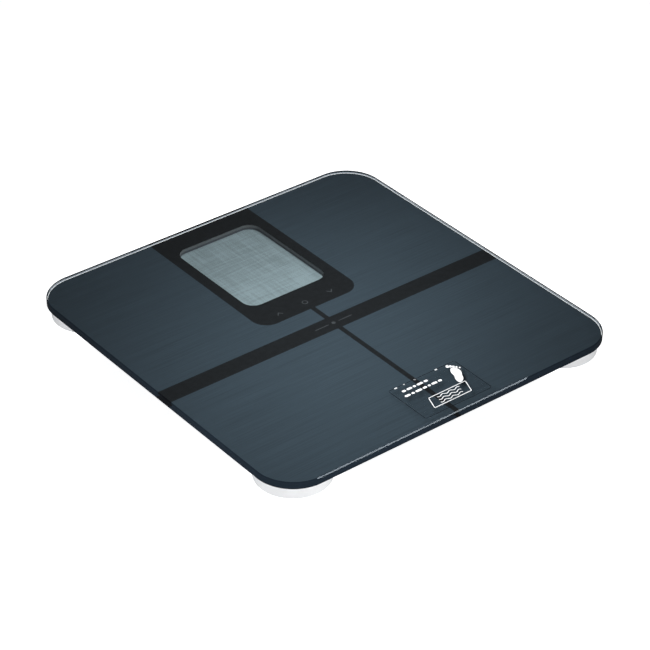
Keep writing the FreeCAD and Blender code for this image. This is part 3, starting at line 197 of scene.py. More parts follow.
def grid_faces(rows, columns, wrap_rows=False, wrap_columns=False):
    """Quads of a grid of points that are stored row by row, as a list.

    Each quad joins the point (row, column) to its neighbours in the next column and the next row. A
    wrapped direction joins its end to its start.
    """
    row_steps = np.arange(rows if wrap_rows else rows - 1)
    column_steps = np.arange(columns if wrap_columns else columns - 1)
    row, column = np.meshgrid(row_steps, column_steps, indexing="ij")
    here = row * columns
    above = (row + 1) % rows * columns
    after = (column + 1) % columns
    quads = np.stack([here + column, here + after, above + after, above + column], axis=-1)
    return quads.reshape(-1, 4).tolist()


def make_mesh(name, points, faces, smooth_under=None):
    """An object at the origin from an array of points and a list of faces, smooth below an angle."""
    mesh = bpy.data.meshes.new(name)
    mesh.from_pydata(points.tolist(), [], faces)
    mesh.update()
    if smooth_under is not None:
        mesh.shade_smooth()
        mesh.set_sharp_from_angle(angle=smooth_under)
    piece = bpy.data.objects.new(name, mesh)
    bpy.context.scene.collection.objects.link(piece)
    return piece


def carried_round(path, normals, inset, height):
    """A grid of points: a profile of insets and heights carried round a flat path.

    The point for profile step v and path step u is path(u) minus inset(v) times normal(u), at
    height(v).
    """
    flat = path[None, :, :] - np.asarray(inset)[:, None, None] * normals[None, :, :]
    level = np.broadcast_to(np.asarray(height)[:, None, None], flat.shape[:2] + (1,))
    return np.concatenate([flat, level], axis=2)


def slab(name, path, normals, inset, height, smooth_under=None):
    """A closed plate: a profile from its underside to its top carried round a path.

    Its last two faces are the flat underside and the flat top.
    """
    grid = carried_round(path, normals, inset, height)
    rows, columns = grid.shape[:2]
    faces = grid_faces(rows, columns, wrap_columns=True)
    underside = list(range(columns))[::-1]
    top = list(range((rows - 1) * columns, rows * columns))
    return make_mesh(name, grid.reshape(-1, 3), faces + [underside, top], smooth_under)


def join_pieces(name, pieces):
    """One object from several, with their meshes put one after another."""
    points = []
    faces = []
    start = 0
    for piece in pieces:
        mesh = piece.data
        places = np.zeros(len(mesh.vertices) * 3)
        corners = np.zeros(len(mesh.loops), np.int32)
        sizes = np.zeros(len(mesh.polygons), np.int32)
        mesh.vertices.foreach_get("co", places)
        mesh.loops.foreach_get("vertex_index", corners)
        mesh.polygons.foreach_get("loop_total", sizes)
        points.append(places.reshape(-1, 3))
        faces += [face.tolist() for face in np.split(corners + start, np.cumsum(sizes)[:-1])]
        start += len(mesh.vertices)
        bpy.data.objects.remove(piece)
        bpy.data.meshes.remove(mesh)
    return make_mesh(name, np.concatenate(points), faces)


# ---------------------------------------------------------------- shader helpers

def add_node(tree, kind, settings=None, **values):
    """A shader node with its settings and its input values, an underscore standing for a space."""
    node = tree.nodes.new(kind)
    for setting, value in (settings or {}).items():
        setattr(node, setting, value)
    for socket, value in values.items():
        node.inputs[socket.replace("_", " ")].default_value = value
    return node


def map_range(tree, source, low, high, to_low, to_high):
    """A value carried from one range to another and held inside it."""
    node = add_node(tree, "ShaderNodeMapRange", From_Min=low, From_Max=high,
                    To_Min=to_low, To_Max=to_high)
    tree.links.new(source, node.inputs["Value"])
    return node.outputs["Result"]


# Where a Mix node that is set to colours keeps its two colours and its result among its sockets.
MIX_COLOURS = (6, 7)
MIX_RESULT = 2


def blend_colours(tree, mask, first, second):
    """The first colour where the mask is 0, and the second where it is 1."""
    node = add_node(tree, "ShaderNodeMix", {"data_type": "RGBA"})
    tree.links.new(mask, node.inputs["Factor"])
    for index, colour in zip(MIX_COLOURS, (first, second)):
        if isinstance(colour, bpy.types.NodeSocket):
            tree.links.new(colour, node.inputs[index])
        else:
            node.inputs[index].default_value = (*colour[:3], 1.0)
    return node.outputs[MIX_RESULT]


def maths(tree, operation, first, second):
    """One step of arithmetic on sockets or plain numbers."""
    node = add_node(tree, "ShaderNodeMath", {"operation": operation})
    for index, value in enumerate((first, second)):
        if isinstance(value, bpy.types.NodeSocket):
            tree.links.new(value, node.inputs[index])
        else:
            node.inputs[index].default_value = value
    return node.outputs[0]


def weighted(tree, first, second, share):
    """The given share of the first value plus the rest of the second."""
    return maths(tree, "ADD", maths(tree, "MULTIPLY", first, share),
                 maths(tree, "MULTIPLY", second, 1.0 - share))


def distance_from(tree, value, middle):
    """How far a value lies from a middle, on either side of it."""
    return maths(tree, "ABSOLUTE", maths(tree, "SUBTRACT", value, middle), 0.0)


def object_place(tree, scale=(1.0, 1.0, 1.0)):
    """The piece's own coordinates in metres, stretched along its axes."""
    place = add_node(tree, "ShaderNodeTexCoord")
    mapping = add_node(tree, "ShaderNodeMapping", Scale=scale)
    tree.links.new(place.outputs["Object"], mapping.inputs["Vector"])
    return mapping.outputs["Vector"]


def object_axes(tree):
    """The piece's own coordinates in metres, as one value for each axis."""
    split = add_node(tree, "ShaderNodeSeparateXYZ")
    tree.links.new(object_place(tree), split.inputs["Vector"])
    return split.outputs


def noise(tree, place, scale, detail=3.0, roughness=0.55):
    """Soft noise, with its scale in features per metre."""
    node = add_node(tree, "ShaderNodeTexNoise", Scale=scale, Detail=detail, Roughness=roughness)
    tree.links.new(place, node.inputs["Vector"])
    return node.outputs["Fac"]


def feed(tree, shader, **sources):
    """Sources linked into a shader's inputs, an underscore standing for a space."""
    for socket, source in sources.items():
        tree.links.new(source, shader.inputs[socket.replace("_", " ")])


def mix_shaders(tree, factor, first, second, output="Material Output"):
    """A tree's surface: the first shader where the factor is 0, and the second where it is 1."""
    mix = add_node(tree, "ShaderNodeMixShader")
    for socket, source in zip(mix.inputs, (factor, first.outputs[0], second.outputs[0])):
        tree.links.new(source, socket)
    tree.links.new(mix.outputs[0], tree.nodes[output].inputs["Surface"])


def new_group(name, inputs, outputs):
    """An empty shader group with named number inputs and outputs, and its two end nodes."""
    tree = bpy.data.node_groups.new(name, "ShaderNodeTree")
    for socket, value in inputs:
        entry = tree.interface.new_socket(socket, in_out="INPUT", socket_type="NodeSocketFloat")
        entry.default_value = value
    for socket in outputs:
        tree.interface.new_socket(socket, in_out="OUTPUT", socket_type="NodeSocketFloat")
    return tree, tree.nodes.new("NodeGroupInput"), tree.nodes.new("NodeGroupOutput")


def moulded_grain_group():
    """Fine spark-eroded grain: a height for the bump and a slow unevenness for colour and gloss."""
    if "moulded_grain" in bpy.data.node_groups:
        return bpy.data.node_groups["moulded_grain"]
    tree, given, made = new_group(
        "moulded_grain", [("Grain", 2500.0), ("Unevenness", 18.0)], ["Height", "Patches"])
    place = object_place(tree)
    fine = add_node(tree, "ShaderNodeTexNoise", Detail=2.0, Roughness=0.6)
    slow = add_node(tree, "ShaderNodeTexNoise", Detail=4.0, Roughness=0.6)
    tree.links.new(place, fine.inputs["Vector"])
    tree.links.new(place, slow.inputs["Vector"])
    tree.links.new(given.outputs["Grain"], fine.inputs["Scale"])
    tree.links.new(given.outputs["Unevenness"], slow.inputs["Scale"])
    tree.links.new(fine.outputs["Fac"], made.inputs["Height"])
    tree.links.new(slow.outputs["Fac"], made.inputs["Patches"])
    return tree


def edge_wear_group():
    """Rubbed edges: 1 where the surface turns within the radius, broken up by noise."""
    if "edge_wear" in bpy.data.node_groups:
        return bpy.data.node_groups["edge_wear"]
    tree, given, made = new_group("edge_wear", [("Radius", 0.6 * MM), ("Breaks", 400.0)], ["Mask"])
    rounded = add_node(tree, "ShaderNodeBevel", {"samples": 4})
    tree.links.new(given.outputs["Radius"], rounded.inputs["Radius"])
    surface = add_node(tree, "ShaderNodeNewGeometry")
    likeness = add_node(tree, "ShaderNodeVectorMath", {"operation": "DOT_PRODUCT"})
    tree.links.new(rounded.outputs["Normal"], likeness.inputs[0])
    tree.links.new(surface.outputs["Normal"], likeness.inputs[1])
    edge = map_range(tree, likeness.outputs["Value"], 0.98, 0.75, 0.0, 1.0)
    speckle = add_node(tree, "ShaderNodeTexNoise", Detail=3.0, Roughness=0.7)
    tree.links.new(object_place(tree), speckle.inputs["Vector"])
    tree.links.new(given.outputs["Breaks"], speckle.inputs["Scale"])
    broken = map_range(tree, speckle.outputs["Fac"], 0.42, 0.62, 0.15, 1.0)
    tree.links.new(maths(tree, "MULTIPLY", edge, broken), made.inputs["Mask"])
    return tree


def dust_group():
    """Settled dust and finger smears: a soft mask from two sizes of noise."""
    if "dust" in bpy.data.node_groups:
        return bpy.data.node_groups["dust"]
    tree, given, made = new_group("dust", [("Smears", 14.0), ("Specks", 900.0)], ["Mask"])
    place = object_place(tree)
    smear = add_node(tree, "ShaderNodeTexNoise", Detail=5.0, Roughness=0.6, Distortion=0.6)
    speck = add_node(tree, "ShaderNodeTexNoise", Detail=2.0, Roughness=0.5)
    tree.links.new(place, smear.inputs["Vector"])
    tree.links.new(place, speck.inputs["Vector"])
    tree.links.new(given.outputs["Smears"], smear.inputs["Scale"])
    tree.links.new(given.outputs["Specks"], speck.inputs["Scale"])
    soft = map_range(tree, smear.outputs["Fac"], 0.48, 0.75, 0.0, 1.0)
    fine = map_range(tree, speck.outputs["Fac"], 0.60, 0.72, 0.0, 0.7)
    tree.links.new(maths(tree, "MAXIMUM", soft, fine), made.inputs["Mask"])
    return tree


def use_group(tree, group, **values):
    """A node that holds one of the shared groups, with its own values."""
    node = tree.nodes.new("ShaderNodeGroup")
    node.node_tree = group
    for socket, value in values.items():
        node.inputs[socket].default_value = value
    return node


# Keeps the finishes apart from the frame's own materials, which have the names of the slots.
FINISH_PREFIX = "finish_"


def new_finish(name):
    """An empty material with its tree and its Principled shader."""
    finish = bpy.data.materials.new(FINISH_PREFIX + name)
    finish.use_nodes = True
    return finish, finish.node_tree, finish.node_tree.nodes["Principled BSDF"]


def add_bump(tree, shader, height, strength, distance):
    """A bump of a real depth in metres on a shader's normal."""
    bump = add_node(tree, "ShaderNodeBump", Strength=strength, Distance=distance)
    tree.links.new(height, bump.inputs["Height"])
    tree.links.new(bump.outputs["Normal"], shader.inputs["Normal"])


def shade(colour, factor):
    """A colour of three channels made lighter or darker."""
    return tuple(min(1.0, channel * factor) for channel in colour)


def toned(tree, source, low, high, colour, spread):
    """A colour made darker where a source is low, and lighter by the same share where it is high."""
    tone = map_range(tree, source, low, high, 0.0, 1.0)
    return blend_colours(tree, tone, shade(colour, 1.0 - spread), shade(colour, 1.0 + spread))


# ---------------------------------------------------------------- finishes

DUST_COLOUR = linear(178, 174, 166)


def moulded_finish(name, colour, roughness, grain=2500.0, depth=0.012 * MM, wear=1.25):
    """Moulded plastic or rubber: fine grain, slow unevenness, dust and rubbed edges."""
    finish, tree, shader = new_finish(name)
    texture = use_group(tree, moulded_grain_group(), Grain=grain, Unevenness=22.0)
    rubbed = use_group(tree, edge_wear_group(), Radius=0.5 * MM, Breaks=500.0)
    dust = use_group(tree, dust_group(), Smears=20.0, Specks=1400.0)
    patches = texture.outputs["Patches"]
    uneven = map_range(tree, patches, 0.3, 0.7, 0.0, 1.0)
    base = blend_colours(tree, uneven, shade(colour, 0.93), shade(colour, 1.03))
    worn = blend_colours(tree, rubbed.outputs["Mask"], base, shade(colour, wear))
    faint = maths(tree, "MULTIPLY", dust.outputs["Mask"], 0.10)
    matt = map_range(tree, patches, 0.3, 0.7, roughness - 0.06, roughness + 0.06)
    feed(tree, shader,
         Base_Color=blend_colours(tree, faint, worn, DUST_COLOUR),
         Roughness=maths(tree, "ADD", matt, faint))
    add_bump(tree, shader, texture.outputs["Height"], 0.35, depth)
    return finish


def metal_finish(name, colour, roughness):
    """Rolled or drawn metal: fine lines from left to right, with tarnish in soft patches."""
    finish, tree, shader = new_finish(name)
    lines = noise(tree, object_place(tree, scale=(40.0, 2600.0, 2600.0)), 1.0, 4.0, 0.6)
    patches = noise(tree, object_place(tree), 90.0, 4.0, 0.6)
    tarnish = map_range(tree, patches, 0.35, 0.75, 0.0, 0.6)
    base = blend_colours(tree, tarnish, colour, shade(colour, 0.72))
    shine = map_range(tree, lines, 0.3, 0.7, 0.0, 0.35)
    feed(tree, shader,
         Base_Color=blend_colours(tree, shine, base, shade(colour, 1.12)),
         Roughness=map_range(tree, lines, 0.25, 0.75, roughness - 0.08, roughness + 0.12))
    shader.inputs["Metallic"].default_value = 1.0
    add_bump(tree, shader, lines, 0.25, 0.01 * MM)
    return finish


def glass_finish(name, tint):
    """Tempered glass: faintly uneven tint and polish, and nearly clear to the light of the lamps."""
    finish, tree, shader = new_finish(name)
    waves = noise(tree, object_place(tree), 9.0, 2.0, 0.4)
    smears = use_group(tree, dust_group(), Smears=11.0, Specks=1600.0)
    feed(tree, shader,
         Base_Color=blend_colours(tree, waves, shade(tint, 0.995), shade(tint, 1.005)),
         Roughness=map_range(tree, smears.outputs["Mask"], 0.0, 1.0, 0.0, 0.012))
    shader.inputs["Transmission Weight"].default_value = 1.0
    shader.inputs["IOR"].default_value = 1.52
    clear = add_node(tree, "ShaderNodeBsdfTransparent", Color=(0.93, 0.95, 0.94, 1.0))
    ray = add_node(tree, "ShaderNodeLightPath")
    mix_shaders(tree, ray.outputs["Is Shadow Ray"], shader, clear)
    return finish


def hairline_ink(name, colour):
    """Slate print with fine brushed lines from left to right, like a metallic foil under glass."""
    finish, tree, shader = new_finish(name)
    fine = noise(tree, object_place(tree, scale=(14.0, 1500.0, 1.0)), 1.0, 4.0, 0.65)
    broad = noise(tree, object_place(tree, scale=(5.0, 230.0, 1.0)), 1.0, 3.0, 0.6)
    lines = weighted(tree, fine, broad, 0.8)
    feed(tree, shader,
         Base_Color=toned(tree, lines, 0.36, 0.64, colour, 0.14),
         Roughness=map_range(tree, lines, 0.3, 0.7, 0.42, 0.6))
    shader.inputs["Specular IOR Level"].default_value = 0.15
    return finish


def plain_ink(name, colour):
    """Screen print with the faint mottle of a thick coat."""
    finish, tree, shader = new_finish(name)
    mottle = noise(tree, object_place(tree), 260.0, 4.0, 0.6)
    feed(tree, shader,
         Base_Color=toned(tree, mottle, 0.35, 0.65, colour, 0.12),
         Roughness=map_range(tree, mottle, 0.3, 0.7, 0.45, 0.6))
    shader.inputs["Specular IOR Level"].default_value = 0.12
    return finish


def display_finish(name, colour):
    """Unlit display: a silvery grey-green polariser with a very fine brushed grid."""
    finish, tree, shader = new_finish(name)
    across = noise(tree, object_place(tree, scale=(30.0, 480.0, 1.0)), 1.0, 2.0, 0.5)
    upright = noise(tree, object_place(tree, scale=(480.0, 30.0, 1.0)), 1.0, 2.0, 0.5)
    weave = weighted(tree, across, upright, 0.5)
    slow = noise(tree, object_place(tree), 22.0, 3.0, 0.5)
    feed(tree, shader,
         Base_Color=toned(tree, weighted(tree, weave, slow, 0.7), 0.42, 0.58, colour, 0.16),
         Roughness=map_range(tree, weave, 0.3, 0.7, 0.34, 0.5))
    shader.inputs["Specular IOR Level"].default_value = 0.35
    return finish


# Distances from the film's side over which the painted shade along its edge, and its fraying at the
# rear, fade out.
PAINTED_EDGE_SHADE = (0.35 * MM, 0.6 * MM)
FRAYED_EDGE = (0.9 * MM, 1.7 * MM)


def film_finish(name, box):
    """Clear protective film: almost unseen, with a faint painted shade along its edge, specks and a
    frayed rear edge.
    """
    finish, tree, shader = new_finish(name)
    low, high = box
    place = object_axes(tree)
    margins = []
    for axis in (0, 1):
        away = distance_from(tree, place[axis], (low[axis] + high[axis]) / 2)
        margins.append(maths(tree, "SUBTRACT", (high[axis] - low[axis]) / 2, away))
    # Painted shade: a dark line along the film's edge, where its edge shows dark.
    cut = map_range(tree, maths(tree, "MINIMUM", *margins), *PAINTED_EDGE_SHADE, 0.6, 0.0)
    specks = noise(tree, object_place(tree), 700.0, 3.0, 0.6)
    scuffs = noise(tree, object_place(tree, scale=(1.0, 0.3, 1.0)), 190.0, 2.0, 0.5)
    from_rear = maths(tree, "SUBTRACT", high.y, place[1])
    frayed = maths(tree, "MULTIPLY", map_range(tree, from_rear, *FRAYED_EDGE, 0.9, 0.0),
                   map_range(tree, scuffs, 0.56, 0.60, 0.0, 1.0))
    rubbed = maths(tree, "MAXIMUM", map_range(tree, specks, 0.66, 0.74, 0.0, 0.25), frayed)
    feed(tree, shader,
         # Dark where the edge has its painted shade and in the film's faint overall tint, and light
         # where it is rubbed and frayed.
         Base_Color=blend_colours(tree, rubbed, linear(22, 27, 32), linear(210, 214, 216)),
         Alpha=maths(tree, "ADD", maths(tree, "MAXIMUM", cut, rubbed), 0.05))
    shader.inputs["Roughness"].default_value = 0.22
    return finish


def label_ink(name):
    """White print on the film, thin in places where it is rubbed."""
    finish, tree, shader = new_finish(name)
    rubbed = noise(tree, object_place(tree), 1500.0, 4.0, 0.65)
    tone = map_range(tree, rubbed, 0.35, 0.65, 0.0, 1.0)
    feed(tree, shader,
         Base_Color=blend_colours(tree, tone, linear(215, 217, 219), linear(240, 241, 242)),
         Alpha=map_range(tree, rubbed, 0.3, 0.36, 0.55, 1.0))
    shader.inputs["Roughness"].default_value = 0.5
    return finish


def board_finish(name):
    """Circuit board: green solder mask, lighter where a grid of copper tracks lies under it."""
    finish, tree, shader = new_finish(name)
    black, white = (0.0, 0.0, 0.0, 1.0), (1.0, 1.0, 1.0, 1.0)
    tracks = add_node(tree, "ShaderNodeTexBrick", Scale=1.0, Mortar_Size=0.7 * MM,
                      Brick_Width=6.5 * MM, Row_Height=2.6 * MM,
                      Color1=black, Color2=black, Mortar=white)
    tree.links.new(object_place(tree), tracks.inputs["Vector"])
    grain = noise(tree, object_place(tree), 1200.0)
    plain, over_track = linear(22, 84, 48), linear(38, 112, 64)
    feed(tree, shader,
         Base_Color=blend_colours(tree, tracks.outputs["Fac"], plain, over_track),
         Roughness=map_range(tree, grain, 0.3, 0.7, 0.3, 0.42))
    return finish


def make_finishes(colours):
    """The finish of every slot but the film's, and the glass of the platform's edge, by name."""
    steel = tuple(colours.steel)
    finishes = [
        glass_finish("clear_glass", tuple(colours.glass)),
        # The edge glass: its dark tint is partly painted shade on the edge faces.
        glass_finish("glass_edge", tuple(colours.glass_edge)),
        hairline_ink("slate_ink", tuple(colours.slate)),
        plain_ink("black_ink", tuple(colours.black)),
        plain_ink("grey_ink", tuple(colours.marks)),
        display_finish("display_glass", tuple(colours.display)),
        board_finish("circuit_board"),
        moulded_finish("white_housing", tuple(colours.housing), 0.42),
        moulded_finish("foot_rubber", tuple(colours.rubber), 0.72, 1800.0, depth=0.03 * MM, wear=1.5),
        moulded_finish("cable_jacket", linear(206, 206, 203), 0.5, 1800.0),
        moulded_finish("gauge_potting", linear(226, 222, 208), 0.55, 900.0, depth=0.06 * MM),
        moulded_finish("adhesive_foam", linear(72, 74, 77), 0.8, 2200.0, depth=0.05 * MM),
        moulded_finish("grey_frame", linear(86, 88, 91), 0.5),
        moulded_finish("dark_bezel", linear(58, 60, 67), 0.5),
        moulded_finish("zebra_rubber", linear(236, 200, 196), 0.6),
        moulded_finish("chip_epoxy", linear(24, 24, 25), 0.35, 700.0, depth=0.03 * MM),
        moulded_finish("white_nylon", linear(228, 226, 216), 0.45),
        moulded_finish("switch_black", linear(30, 30, 32), 0.45),
        moulded_finish("grey_button", linear(150, 152, 154), 0.5),
        moulded_finish("lead_jacket", linear(176, 30, 28), 0.45, 1800.0),
        metal_finish("cell_steel", steel, 0.34),
        metal_finish("reflector_film", linear(190, 192, 194), 0.4),
        metal_finish("spring_brass", linear(196, 168, 96), 0.28),
        metal_finish("contact_steel", steel, 0.28),
        metal_finish("cell_can", linear(200, 200, 198), 0.24),
    ]
    return {finish.name.removeprefix(FINISH_PREFIX): finish for finish in finishes}


# Filled by the first operator, and read by those after it.
FINISHES = {}


# ---------------------------------------------------------------- glass platform

def bevelled_profile(thickness, arris, sink):
    """Insets and heights of the plate's edge, from the underside up to the top.

    The side is upright between two flat bevels at 45 degrees, and each end of a bevel is eased by
    a short step. The lower half of the profile is moved down by the sink.
    """
    ease = arris / 8
    inset = np.array([arris + ease, arris, 0.0, 0.0, arris, arris + ease])
    height = np.array([0.0, ease / 3, arris, thickness - arris, thickness - ease / 3, thickness])
    return inset, height - sink * (height < thickness / 2)


def glass_plate(shapes):
    """The glass platform, with its bevelled edge carried round the rounded square.

    Its flat underside and top have its first material, and the faces round its edge the second, whose
    dark tint is partly painted shade.
    """
    low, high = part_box("glass_platform")
    path, normals = rounded_path(high.x - low.x, high.y - low.y, shapes.glass_corner, steps=40)
    inset, height = bevelled_profile(high.z - low.z, shapes.arris, shapes.ink_bond)
    plate = slab("glass_plate", path, normals, inset, height + low.z, math.radians(12))
    material = np.ones(len(plate.data.polygons), np.int32)
    material[-2:] = 0
    plate.data.polygons.foreach_set("material_index", material)
    return plate


# ---------------------------------------------------------------- label

def outline_slab(name, outline, low, high):
    """A flat shape with upright sides: a closed outline raised from one height to another."""
    return slab(name, outline, np.zeros_like(outline), np.zeros(2), np.array([low, high]))


def ribbon(name, path, width, low, high, closed=False):
    """A flat line of even width: each side is the path shifted by half the width along its normal.

    The normal is the path's direction turned a quarter, and the direction is the difference of the
    neighbouring points.
    """
    if closed:
        along = np.roll(path, -1, axis=0) - np.roll(path, 1, axis=0)
    else:
        along = np.gradient(path, axis=0)
    along /= np.linalg.norm(along, axis=1)[:, None]
    side = np.stack([-along[:, 1], along[:, 0]], axis=1)
    shifts = np.array([0.5, 0.5, -0.5, -0.5]) * width
    heights = np.array([low, high, high, low])
    flat = path[None] + shifts[:, None, None] * side[None]
    level = np.broadcast_to(heights[:, None, None], flat.shape[:2] + (1,))
    grid = np.concatenate([flat, level], axis=2)
    rows, columns = grid.shape[:2]
    faces = grid_faces(rows, columns, wrap_rows=True, wrap_columns=closed)
    if not closed:
        first_end = np.arange(rows) * columns
        last_end = first_end[::-1] + columns - 1
        faces += [first_end.tolist(), last_end.tolist()]
    return make_mesh(name, grid.reshape(-1, 3), faces)


def turned(points, angle, centre):
    """Flat points turned about the origin and set down around a centre."""
    turn = np.array([[math.cos(angle), math.sin(angle)], [-math.sin(angle), math.cos(angle)]])
    return points @ turn + centre


def sole_outline(length, width, count=56):
    """The outline of a bare sole.

    At the share s of its length, from heel to ball, the half width is half the width times the root
    of 1 - (2s - 1) squared, times a swell that grows evenly with s and dips in a bell curve at the
    waist. The outline is shifted sideways by a sine of s for the arch.
    """
    angle = np.linspace(0, 2 * np.pi, count, endpoint=False)
    share = (1 - np.cos(angle)) / 2
    swell = 0.74 + 0.26 * share - 0.20 * np.exp(-((share - 0.45) / 0.17) ** 2)
    x = np.sin(angle) * width / 2 * swell + 0.10 * width * np.sin(np.pi * share)
    return np.stack([x, (share - 0.5) * length], axis=1)


def ellipse(width, height, centre, count=20):
    """A closed ellipse."""
    angle = np.linspace(0, 2 * np.pi, count, endpoint=False)
    return np.stack([np.cos(angle) * width / 2, np.sin(angle) * height / 2], axis=1) + centre


def footprint(low, high, centre, angle, size):
    """A plain footprint: a sole and five toes on an arc, each toe smaller than the one before.

    Its parts are shares of its size. Each toe is an even step narrower than the one before and an
    even step further to the side, and toe k lies back by a power of k.
    """
    toe = np.arange(5)
    widths = 0.105 - 0.013 * toe
    middles = np.stack([-0.135 + 0.082 * toe, 0.455 - 0.014 * toe ** 1.6], axis=1)
    shapes = [sole_outline(0.74, 0.36)]
    shapes += [ellipse(width, width * 1.25, middle) for width, middle in zip(widths, middles)]
    outlines = [turned(shape * size, angle, centre) for shape in shapes]
    return [outline_slab("print", outline, low, high) for outline in outlines]


def wave(centre, length, swing, turns, count=40):
    """A wavy line: its sideways swing is a sine of the way along it."""
    along = np.linspace(-0.5, 0.5, count)
    return np.stack([along * length, swing * np.sin(2 * np.pi * turns * along)], axis=1) + centre


def slanted_frame(corners, count=12):
    """A closed path of even steps along the straight sides between four corners."""
    sides = np.roll(corners, -1, axis=0) - corners
    share = np.arange(count) / count
    return (corners[:, None] + share[:, None] * sides[:, None]).reshape(-1, 2)


def small_bars(low, high, start, widths, height, gap):
    """A row of short rounded bars, one after another."""
    bars = []
    left = start[0]
    for width in widths:
        path, _ = rounded_path(width, height, height * 0.45, (left + width / 2, start[1]), steps=4)
        bars.append(outline_slab("bar", path, low, high))
        left += width + gap
    return bars


# Places on the label, from the middle of the film.
FOOTPRINT_PLACE = np.array([20.0, 6.0]) * MM
FOOTPRINT_TURN = math.radians(-24)
FOOTPRINT_SIZE = 24 * MM
TILE_CORNERS = np.array([[-17, -14], [16, -14], [20, -3], [-13, -3]]) * MM
LINE_WIDTH = 0.6 * MM
WAVE_PLACE = np.array([0.5, -11.5]) * MM
WAVE_STEP = np.array([1.0, 3.0]) * MM
WAVE_LENGTH = 20 * MM
WAVE_SWING = 0.7 * MM
BAR_HEIGHT = 2.0 * MM
BAR_GAP = 1.1 * MM
# Where each row of bars starts, and how wide its bars are.
BAR_ROWS = (
    (np.array([-22.5, 13.5]) * MM, np.array([3.0, 4.4, 2.4, 5.2, 3.2]) * MM),
    (np.array([-24.5, 8.0]) * MM, np.array([4.6, 2.6, 5.4, 3.4, 2.2, 4.8, 3.0]) * MM),
)


def label_print(shapes):
    """The white print on the film: a footprint, a tile with waves, and two rows of plain bars."""
    low_corner, high_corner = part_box("film_label")
    low = high_corner.z
    high = low + shapes.print_thickness
    middle = np.array((low_corner + high_corner) / 2)[:2]
    pieces = footprint(low, high, middle + FOOTPRINT_PLACE, FOOTPRINT_TURN, FOOTPRINT_SIZE)
    tile = slanted_frame(middle + TILE_CORNERS)
    pieces.append(ribbon("tile", tile, LINE_WIDTH, low, high, closed=True))
    for row in range(3):
        line = wave(middle + WAVE_PLACE + row * WAVE_STEP, WAVE_LENGTH, WAVE_SWING, turns=3)
        pieces.append(ribbon("wave", line, LINE_WIDTH, low, high))
    for start, widths in BAR_ROWS:
        pieces += small_bars(low, high, middle + start, widths, BAR_HEIGHT, BAR_GAP)
    return join_pieces("label_print", pieces)


def label_film(shapes):
    """The clear film: a thin slab with rounded corners, a hair above the glass."""
    low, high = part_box("film_label")
    centre = (low + high) / 2
    path, normals = rounded_path(high.x - low.x, high.y - low.y, shapes.film_corner,
                                 (centre.x, centre.y), steps=8)
    ease = 0.01 * MM
    heights = np.array([low.z + shapes.film_lift, high.z - ease, high.z])
    return slab("label_film", path, normals, np.array([0.0, 0.0, ease]), heights)


# ---------------------------------------------------------------- foot pads

def turned_piece(name, radius, height, centre, steps=96, smooth_under=math.radians(35)):
    """A closed turned shape: a profile of radii and heights carried round a circle.

    The point for profile step v and angle a is the centre plus radius(v) times (cos a, sin a), at
    height(v). The two ends of the profile lie on the axis and are single points.
    """
    angle = np.linspace(0, 2 * np.pi, steps, endpoint=False)
    ring = np.stack([np.cos(angle), np.sin(angle)], axis=1)
    flat = radius[1:-1, None, None] * ring + centre
    level = np.broadcast_to(height[1:-1, None, None], flat.shape[:2] + (1,))
    grid = np.concatenate([flat, level], axis=2)
    poles = np.array([[*centre, height[0]], [*centre, height[-1]]])
    rows = len(grid)
    low_pole = np.full(steps, rows * steps)
    low_ring = np.arange(steps)
    top_ring = low_ring + (rows - 1) * steps
    underside = np.stack([low_pole, np.roll(low_ring, -1), low_ring], axis=1)
    top = np.stack([low_pole + 1, top_ring, np.roll(top_ring, -1)], axis=1)
    faces = grid_faces(rows, steps, wrap_columns=True) + underside.tolist() + top.tolist()
    return make_mesh(name, np.concatenate([grid.reshape(-1, 3), poles]), faces, smooth_under)


# The pad's sizes: the hollow in its middle, the flat lands on either side of its grooves, and the
# easing of its two edges.
HOLLOW_RADIUS = 6.5 * MM
HOLLOW_DEPTH = 0.5 * MM
HOLLOW_SLOPE = 0.4 * MM
INNER_LAND = 1.2 * MM
OUTER_LAND = 1.6 * MM
EDGE_RADIUS = 0.6 * MM
TOP_EASE = 0.05 * MM
GROOVES = 5
# One groove: shares of the pitch across it, and shares of the tread's depth up into it.
GROOVE_ACROSS = np.array([0.0, 0.12, 0.42, 0.54])
GROOVE_UP = np.array([0.0, 1.0, 1.0, 0.0])


def tread_profile(radius, height, depth):
    """Radii and heights of a pad, from the middle of its underside to the middle of its top.

    Between the hollow and the edge, the underside rises and falls in flat-topped rings, and the
    lower edge is a quarter circle.
    """
    first = HOLLOW_RADIUS + INNER_LAND
    pitch = (radius - OUTER_LAND - first) / GROOVES
    starts = first + pitch * np.arange(GROOVES)
    turn = np.linspace(0, np.pi / 2, 6)
    radii = np.concatenate([
        [0.0, HOLLOW_RADIUS - HOLLOW_SLOPE, HOLLOW_RADIUS],
        (starts[:, None] + pitch * GROOVE_ACROSS).ravel(),
        radius - EDGE_RADIUS + EDGE_RADIUS * np.sin(turn),
        [radius, radius, 0.0],
    ])
    levels = np.concatenate([
        [HOLLOW_DEPTH, HOLLOW_DEPTH, 0.0],
        np.tile(depth * GROOVE_UP, GROOVES),
        EDGE_RADIUS - EDGE_RADIUS * np.cos(turn),
        [height - TOP_EASE, height, height],
    ])
    return radii, levels


def foot_pad(name, shapes):
    """One rubber pad with rings in its tread."""
    low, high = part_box("foot_pad_" + name)
    centre = ((low.x + high.x) / 2, (low.y + high.y) / 2)
    radii, levels = tread_profile((high.x - low.x) / 2, high.z - low.z, shapes.tread_depth)
    return turned_piece("rubber_pad_" + name, radii, levels, centre)


# ---------------------------------------------------------------- operators

